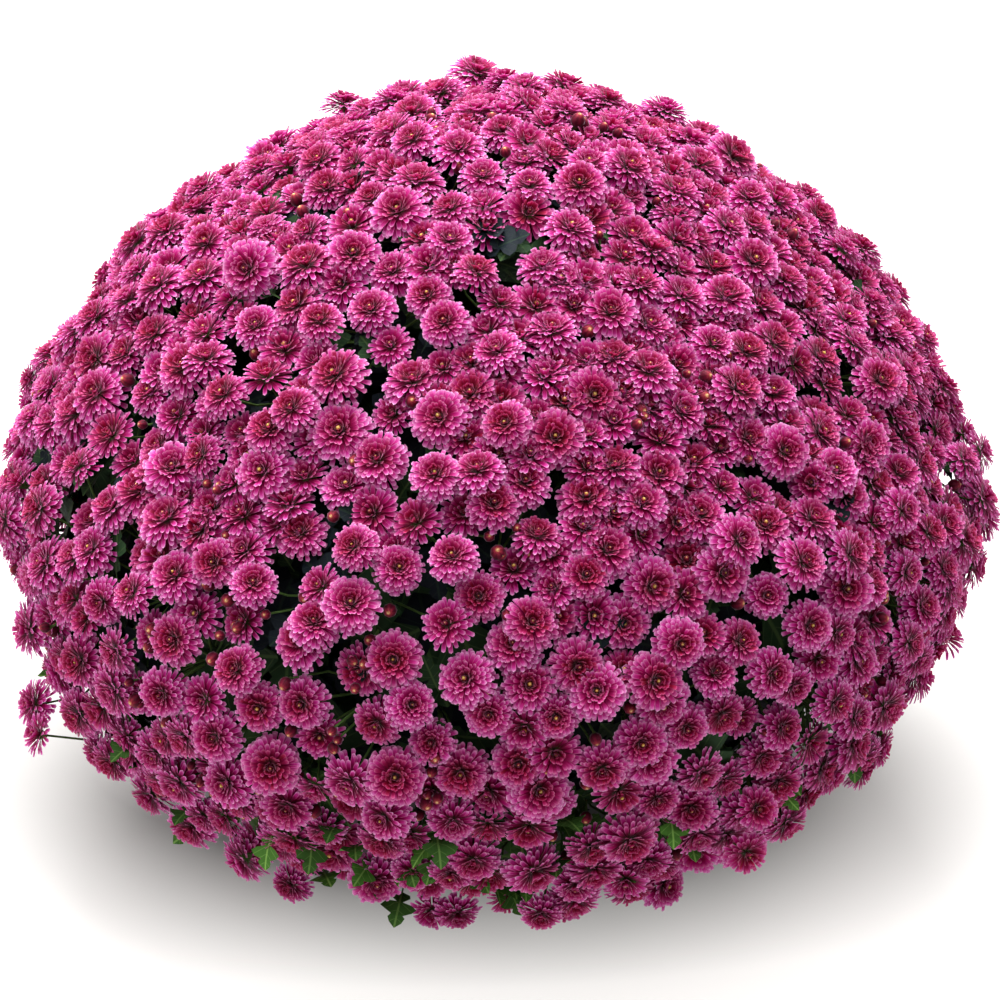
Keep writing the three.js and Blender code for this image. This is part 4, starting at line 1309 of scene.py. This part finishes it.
def buds_between(places, ways, bunches, chance):
    """Single buds between the blooms, and three in each gap that a bloom left."""
    gap_places = np.repeat(SITE_BASE[SITE_GAP], BUDS_PER_GAP, 0)
    gap_ways = np.repeat(SITE_NORMAL[SITE_GAP], BUDS_PER_GAP, 0)
    aside = np.cross(gap_ways, unit(chance.standard_normal(gap_ways.shape)))
    places = np.concatenate([places, gap_places + BUD_ASIDE * unit(aside)])
    ways = np.concatenate([ways, gap_ways])
    axes = unit(ways + BUD_NOD * chance.standard_normal(ways.shape))
    widths = chance.uniform(*BUD_WIDTH, len(ways))
    depth = chance.uniform(*BUD_DEPTH, len(ways)) + 2 * widths
    bunches = np.concatenate([bunches, np.repeat(SITE_BUNCH[SITE_GAP], BUDS_PER_GAP)])
    return {"place": places - ways * depth[:, None], "axis": axes, "size": widths, "bunch": bunches}


def bloom_plan(chance):
    """Places, ways, sizes, kinds and bunches of all the blooms and buds."""
    front = front_blooms(chance)
    middles = SITE_BASE[SITE_TRIPLES].mean(1)
    facing = unit(SITE_NORMAL[SITE_TRIPLES].sum(1))
    bunches = SITE_BUNCH[SITE_TRIPLES[:, 0]]
    roomiest = np.argsort(-room_between(middles, facing, chance))[:HALF_BLOOMS]
    order = chance.permutation(len(SITE_TRIPLES))
    others = order[~np.isin(order, roomiest)][:BUDS]
    tier = second_tier(middles[roomiest], facing[roomiest], bunches[roomiest], chance)
    columns = zip(front, tier, low_blooms(chance))
    keys = ("place", "axis", "size", "half", "bunch")
    blooms = {key: np.concatenate(column) for key, column in zip(keys, columns)}
    return blooms, buds_between(middles[others], facing[others], bunches[others], chance)


BLOOMS, BUDDING = bloom_plan(np.random.default_rng(PLAN_SEED))


def members_of(plan, chosen):
    """Places, ways and sizes of the chosen blooms or buds. A bud's size is its width."""
    return [plan[key][chosen] for key in ("place", "axis", "size")]


def make_blooms(bunch, name, chance):
    """All the petals, eyes and buds of one bunch."""
    parts = []
    for half, layers in ((False, OPEN_BLOOM), (True, HALF_BLOOM)):
        places, axes, sizes = members_of(BLOOMS, (BLOOMS["bunch"] == bunch) & (BLOOMS["half"] == half))
        first, second = frames_round(axes, chance)
        tones = chance.choice(BLOOM_TONES, len(places))
        for layer in layers:
            parts.append(layer_of_petals(layer, places, axes, first, second, sizes, tones, chance))
        width = sizes * chance.uniform(*EYE_WIDTH, len(places))
        height = sizes * chance.uniform(*EYE_HEIGHT, len(places))
        bands = np.where(chance.random(len(places)) < YOUNG_EYES, BUD_BAND, EYE_BAND)
        parts.append(round_tops(places, axes, first, second, width, height, EYE_SHAPE, EYE_SIDES, bands))
    places, axes, width = members_of(BUDDING, BUDDING["bunch"] == bunch)
    first, second = frames_round(axes, chance)
    parts.append(round_tops(places, axes, first, second, width, 2 * width, BUD_SHAPE, BUD_SIDES, BUD_BAND))
    grow(name + "_blooms", parts, PETALS, name)


for bunch_number, bunch_name in enumerate(BUNCH_NAMES):
    make_blooms(bunch_number, bunch_name, np.random.default_rng(BLOOM_SEED + bunch_number))

# ---------------------------------------------------------------- stalks and leaves of the bunches
# What carries the blooms: every bloom and bud sits in a green cup on its own thin stalk. The stalks
# meet in forks under the mound's face, and shoots carry these from the end of the branch. Lobed
# leaves fill the depth between the stalks, in painted shade inside the mound and lit greens near its lower
# edge.
STALK_RADIUS = 0.0009
STALK_SIDES = 3
STALK_STEPS = 4
FORK_SHOOT_RADII = (0.0024, 0.0013)
SHOOT_SIDES = 5
SHOOT_STEPS = 6
STALK_PULL = 0.4  # how far a stalk keeps its way at either end, as a share of its length
FORK_DEPTH = 0.046
FORK_EVERY = 7  # the mound's places to a fork
FORK_DRAWN_BACK = 0.12
CUP_RADIUS = 0.0047
CUP_HEIGHT = 0.006
CUP_SIDES = 6
CUP_PROFILE = ((-1.0, 0.3), (0.0, 1.0))  # height and width, as shares of the cup's
CUP_ON_STALK = 0.8  # how deep the stalk's end stands in the cup, as a share of its height
BUD_PER_CUP = 0.0062  # the width of a bud that would take a full cup
BUD_IN_CUP = 0.0016
LEAVES = 1050
LEAF_DEPTH = (0.013, 0.046)
LEAF_SIZE = (0.026, 0.042)
LEAF_LEAN = (0.2, 0.95)
LEAF_ASIDE = 0.016
LEAF_LIFT = 0.3
LIT_LEAVES_BELOW = 0.23
LIT_LEAVES_FALL = 0.13
LIT_LEAVES_BANDS = 3.8  # how many greens lighter the lowest leaves are painted, as painted light
LIT_LEAVES_STRAY = 1.9
SKIRT_LEAVES = 170
SKIRT_LEAF_HEIGHT = (0.075, 0.165)
SKIRT_LEAF_INSET = (0.017, 0.036)
SKIRT_LEAF_FALL = (-0.6, 0.5)
SKIRT_LEAF_SIZE = (0.021, 0.032)
# the lighter greens, painted as lit leaves
SKIRT_LEAF_BANDS = (3, 6)
SKIRT_LEAF_STRAY = 0.45
SKIRT_LEAF_TILT = 0.6
SKIRT_LEAF_ROLL = 0.3
SKIRT_STALK_START = 0.8  # how far out a skirt leaf's stalk starts, as a share of the leaf's place
SKIRT_STALK_RISE = 0.02
DEEP_LEAVES = 2200
DEEP_LEAF_DEPTH = (0.045, 0.090)
DEEP_LEAF_SIZE = (0.044, 0.062)
DEEP_LEAF_STRAY = 0.01
DEEP_LEAF_LEAN = 0.25
# the darkest greens, painted shade
DEEP_LEAF_BANDS = (0, 2)
STALK_SEED = 300
DEEP_LEAF_HALF = ((0.0, 0.1), (0.3, 0.75), (0.45, 0.45), (0.7, 1.0), (1.0, 0.05))


def green_cups(places, axes, sizes, chance):
    """The cup of small green scales under each bloom."""
    first, second = frames_round(axes, chance)
    round_out = spokes(first, second, CUP_SIDES)
    rings = len(CUP_PROFILE)
    points = np.zeros((len(places), rings, CUP_SIDES, 3))
    uv = np.zeros((len(places), rings, CUP_SIDES, 2))
    for ring, (height, breadth) in enumerate(CUP_PROFILE):
        middle = places + axes * (CUP_HEIGHT * height * sizes)[:, None]
        points[:, ring] = middle[:, None] + round_out * (CUP_RADIUS * breadth * sizes)[:, None, None]
        uv[:, ring, :, 0] = inset(ring / (rings - 1), 0.05)
        uv[:, ring, :, 1] = in_band(GREEN_CALYX, CUP_SIDES) / GREEN_BANDS
    quads = copies(ring_quads(rings, CUP_SIDES), rings * CUP_SIDES, len(places))
    return points.reshape(-1, 3), [quads], uv.reshape(-1, 2)


def bowed(starts, start_ways, ends, end_ways, steps):
    """Smooth paths that leave along one direction and arrive along another."""
    share = np.linspace(0, 1, steps)[None, :, None]
    length = np.linalg.norm(ends - starts, axis=1)[:, None, None] * STALK_PULL
    near = starts[:, None] + start_ways[:, None] * length
    far = ends[:, None] - end_ways[:, None] * length
    back = 1 - share
    path = back**3 * starts[:, None] + 3 * back**2 * share * near
    return path + 3 * back * share**2 * far + share**3 * ends[:, None]


def cups_and_stalks(bunch, members, chance):
    """A cup and a stalk for each bloom and bud, the forks where stalks meet, and shoots to the forks."""
    blooms = members_of(BLOOMS, BLOOMS["bunch"] == bunch)
    buds = members_of(BUDDING, BUDDING["bunch"] == bunch)
    sunk = np.repeat((0.0, BUD_IN_CUP), (len(blooms[0]), len(buds[0])))
    buds[2] = buds[2] / BUD_PER_CUP
    places, axes, sizes = [np.concatenate(pair) for pair in zip(blooms, buds)]
    seats = places + axes * sunk[:, None]
    cups = green_cups(seats, axes, sizes, chance)
    hubs = members[chance.permutation(len(members))[: len(members) // FORK_EVERY]]
    tip, normal = branch_end(bunch)
    forks = SITE_BASE[hubs] - FORK_DEPTH * SITE_NORMAL[hubs]
    forks = forks + FORK_DRAWN_BACK * (tip - forks)
    nearest = np.linalg.norm(places[:, None] - forks[None], axis=2).argmin(1)
    ends = seats - axes * (CUP_HEIGHT * CUP_ON_STALK * sizes)[:, None]
    stalks = bowed(forks[nearest], unit(forks - tip)[nearest], ends, axes, STALK_STEPS)
    tips = np.broadcast_to(tip, forks.shape)
    normals = np.broadcast_to(normal, forks.shape)
    shoots = bowed(tips, normals, forks, unit(SITE_NORMAL[hubs]), SHOOT_STEPS)
    thinning = np.linspace(*FORK_SHOOT_RADII, SHOOT_STEPS)
    return cups, tubes(stalks, STALK_RADIUS, STALK_SIDES), tubes(shoots, thinning, SHOOT_SIDES)


def face_leaves(members, chance):
    """Leaves close under the mound's face, painted in darker greens as shade higher up and lighter lit
    greens further down.
    """
    count = round(LEAVES * len(members) / BLOOM_SITES)
    chosen = chance.choice(members, count)
    way_out = SITE_NORMAL[chosen]
    sideways = unit(np.cross(way_out, unit(chance.standard_normal((count, 3)))))
    along = unit(sideways + chance.uniform(*LEAF_LEAN, (count, 1)) * way_out)
    depth = chance.uniform(*LEAF_DEPTH, count)
    lengths = chance.uniform(*LEAF_SIZE, count)
    aside = unit(np.cross(way_out, sideways)) * strayed(chance, 1, (count, 1))
    feet = SITE_BASE[chosen] + LEAF_ASIDE * aside
    feet = feet - way_out * depth[:, None] - along * (0.5 * lengths)[:, None]
    up = unit(way_out + LEAF_LIFT * UP)
    # painted light and shade: the lower a leaf, the lighter and more lit its green
    lit_share = np.clip((LIT_LEAVES_BELOW - feet[:, 2]) / LIT_LEAVES_FALL, 0, 1)
    bands = np.floor(LIT_LEAVES_BANDS * lit_share + chance.uniform(0, LIT_LEAVES_STRAY, count))
    bands = np.clip(bands, 0, MOST_LIT_GREEN)
    return lobed_leaves(feet, along, up, lengths, bands, chance)


def skirt_leaves(bunch, chance):
    """Leaves in the lighter greens, painted as lit, that show below and between the blooms of the lower
    edge, and their stalks.
    """
    count = round(SKIRT_LEAVES / SIDE_BUNCHES)
    turn = math.tau * (bunch - 1 + strayed(chance, 0.5, count)) / SIDE_BUNCHES
    height = chance.uniform(*SKIRT_LEAF_HEIGHT, count)
    level = np.interp(height, OUTLINE[::-1, 1], OUTLINE[::-1, 0]) - chance.uniform(*SKIRT_LEAF_INSET, count)
    feet = np.array([polar(r * reach(t, z), t, z) for r, t, z in zip(level, turn, height)])
    falls = chance.uniform(*SKIRT_LEAF_FALL, count)
    ways = np.array([polar(1, t, fall) for t, fall in zip(turn, falls)])
    ways = unit(ways + SKIRT_LEAF_STRAY * chance.standard_normal((count, 3)))
    up = unit(UP + SKIRT_LEAF_TILT * ways + SKIRT_LEAF_ROLL * chance.standard_normal((count, 3)))
    lengths = chance.uniform(*SKIRT_LEAF_SIZE, count)
    leaves = lobed_leaves(feet, ways, up, lengths, chance.integers(*SKIRT_LEAF_BANDS, count), chance)
    inner = SKIRT_STALK_START * level
    inside = np.array([polar(r, t, z) for r, t, z in zip(inner, turn, height + SKIRT_STALK_RISE)])
    paths = bowed(inside, unit(feet - inside), feet, ways, STALK_STEPS)
    return leaves, tubes(paths, STALK_RADIUS, STALK_SIDES)


def deep_leaves(members, chance):
    """Large leaves in the darkest greens, painted shade, that close the mound's inside."""
    count = round(DEEP_LEAVES * len(members) / BLOOM_SITES)
    chosen = np.resize(chance.permutation(members), count)
    way_out = SITE_NORMAL[chosen]
    sideways = np.cross(way_out, unit(chance.standard_normal((count, 3))))
    along = unit(sideways + DEEP_LEAF_LEAN * way_out)
    lengths = chance.uniform(*DEEP_LEAF_SIZE, count)
    feet = SITE_BASE[chosen] + DEEP_LEAF_STRAY * chance.standard_normal((count, 3))
    feet = feet - way_out * chance.uniform(*DEEP_LEAF_DEPTH, (count, 1)) - along * (0.5 * lengths)[:, None]
    bands = chance.integers(*DEEP_LEAF_BANDS, count)
    return lobed_leaves(feet, along, way_out, lengths, bands, chance, DEEP_LEAF_HALF)


def make_stalks(bunch, name, chance):
    """Cups, stalks, forks and leaves of one bunch."""
    members = np.flatnonzero(SITE_BUNCH == bunch)
    parts = [*cups_and_stalks(bunch, members, chance), face_leaves(members, chance)]
    if bunch > 0:
        parts.extend(skirt_leaves(bunch, chance))
    parts.append(deep_leaves(members, chance))
    grow(name + "_stalks", parts, GREEN, name)


for bunch_number, bunch_name in enumerate(BUNCH_NAMES):
    make_stalks(bunch_number, bunch_name, np.random.default_rng(STALK_SEED + bunch_number))

# ---------------------------------------------------------------- floor and light
# A wide floor of off-white sheet with a painted glow all round the plant, and a painted shadow where
# the glow is less towards its middle. A broad soft light hangs above, a smaller one behind it, a weak
# one stands low down to the left, and the white room gives the rest.
FLOOR_HALF = 4.0
FLOOR_COLOUR = (0.342, 0.335, 0.325, 1)
FLOOR_PAINTED_GLOW_COLOUR = (1.0, 0.98, 0.955, 1)
FLOOR_PAINTED_GLOW = 0.745
FLOOR_PAINTED_SHADOW_MIDDLE = (-0.04, 0.06)
FLOOR_PAINTED_SHADOW_DEEP = 1.8  # how much narrower the painted shadow is from front to back than across
FLOOR_PAINTED_SHADOW = (0.24, 0.50)  # how far out the painted glow begins, and where it is full and the painted shadow ends
ROOM_LIGHT = 0.25
LAMPS = (
    # size, power and place
    (5.0, 215.0, (0.0, 0.0, 2.4)),
    (1.8, 124.0, (-0.24, 0.75, 2.3)),
    (1.6, 28.0, (-2.2, -0.5, 1.1)),
)


def make_floor():
    material, shader, add, link = new_material("pale_floor_painted_shadow")
    shader.inputs["Base Color"].default_value = FLOOR_COLOUR
    shader.inputs["Roughness"].default_value = 0.7
    shader.inputs["Emission Color"].default_value = FLOOR_PAINTED_GLOW_COLOUR
    place = add("TexCoord", output="Object")
    middle = (-FLOOR_PAINTED_SHADOW_MIDDLE[0], -FLOOR_PAINTED_SHADOW_DEEP * FLOOR_PAINTED_SHADOW_MIDDLE[1], 0)
    away = add("VectorMath", place, (1, FLOOR_PAINTED_SHADOW_DEEP, 0), middle, operation="MULTIPLY_ADD")
    distance = add("VectorMath", away, output="Value", operation="LENGTH")
    # painted shadow: the floor glows less towards the plant's middle, and fully further out
    link(add("MapRange", distance, *FLOOR_PAINTED_SHADOW, 0.0, FLOOR_PAINTED_GLOW), "Emission Strength")
    h = FLOOR_HALF
    corners = [(-h, -h, 0), (h, -h, 0), (h, h, 0), (-h, h, 0)]
    mesh = mesh_of("floor", corners, [[(0, 1, 2, 3)]])
    mesh.materials.append(material)
    floor = bpy.data.objects.new("floor", mesh)
    bpy.context.scene.collection.objects.link(floor)


def make_light():
    room = bpy.data.worlds.new("room")
    room.use_nodes = True
    background = room.node_tree.nodes["Background"]
    background.inputs["Color"].default_value = (1, 1, 1, 1)
    background.inputs["Strength"].default_value = ROOM_LIGHT
    bpy.context.scene.world = room
    for size, power, place in LAMPS:
        lamp_data = bpy.data.lights.new("soft_lamp", "AREA")
        lamp_data.size = size
        lamp_data.energy = power
        lamp = bpy.data.objects.new("soft_lamp", lamp_data)
        lamp.location = place
        lamp.rotation_euler = (Vector(place) - VIEW_TARGET).to_track_quat("Z", "Y").to_euler()
        bpy.context.scene.collection.objects.link(lamp)
    bpy.context.scene.view_settings.view_transform = "Standard"


make_floor()
make_light()
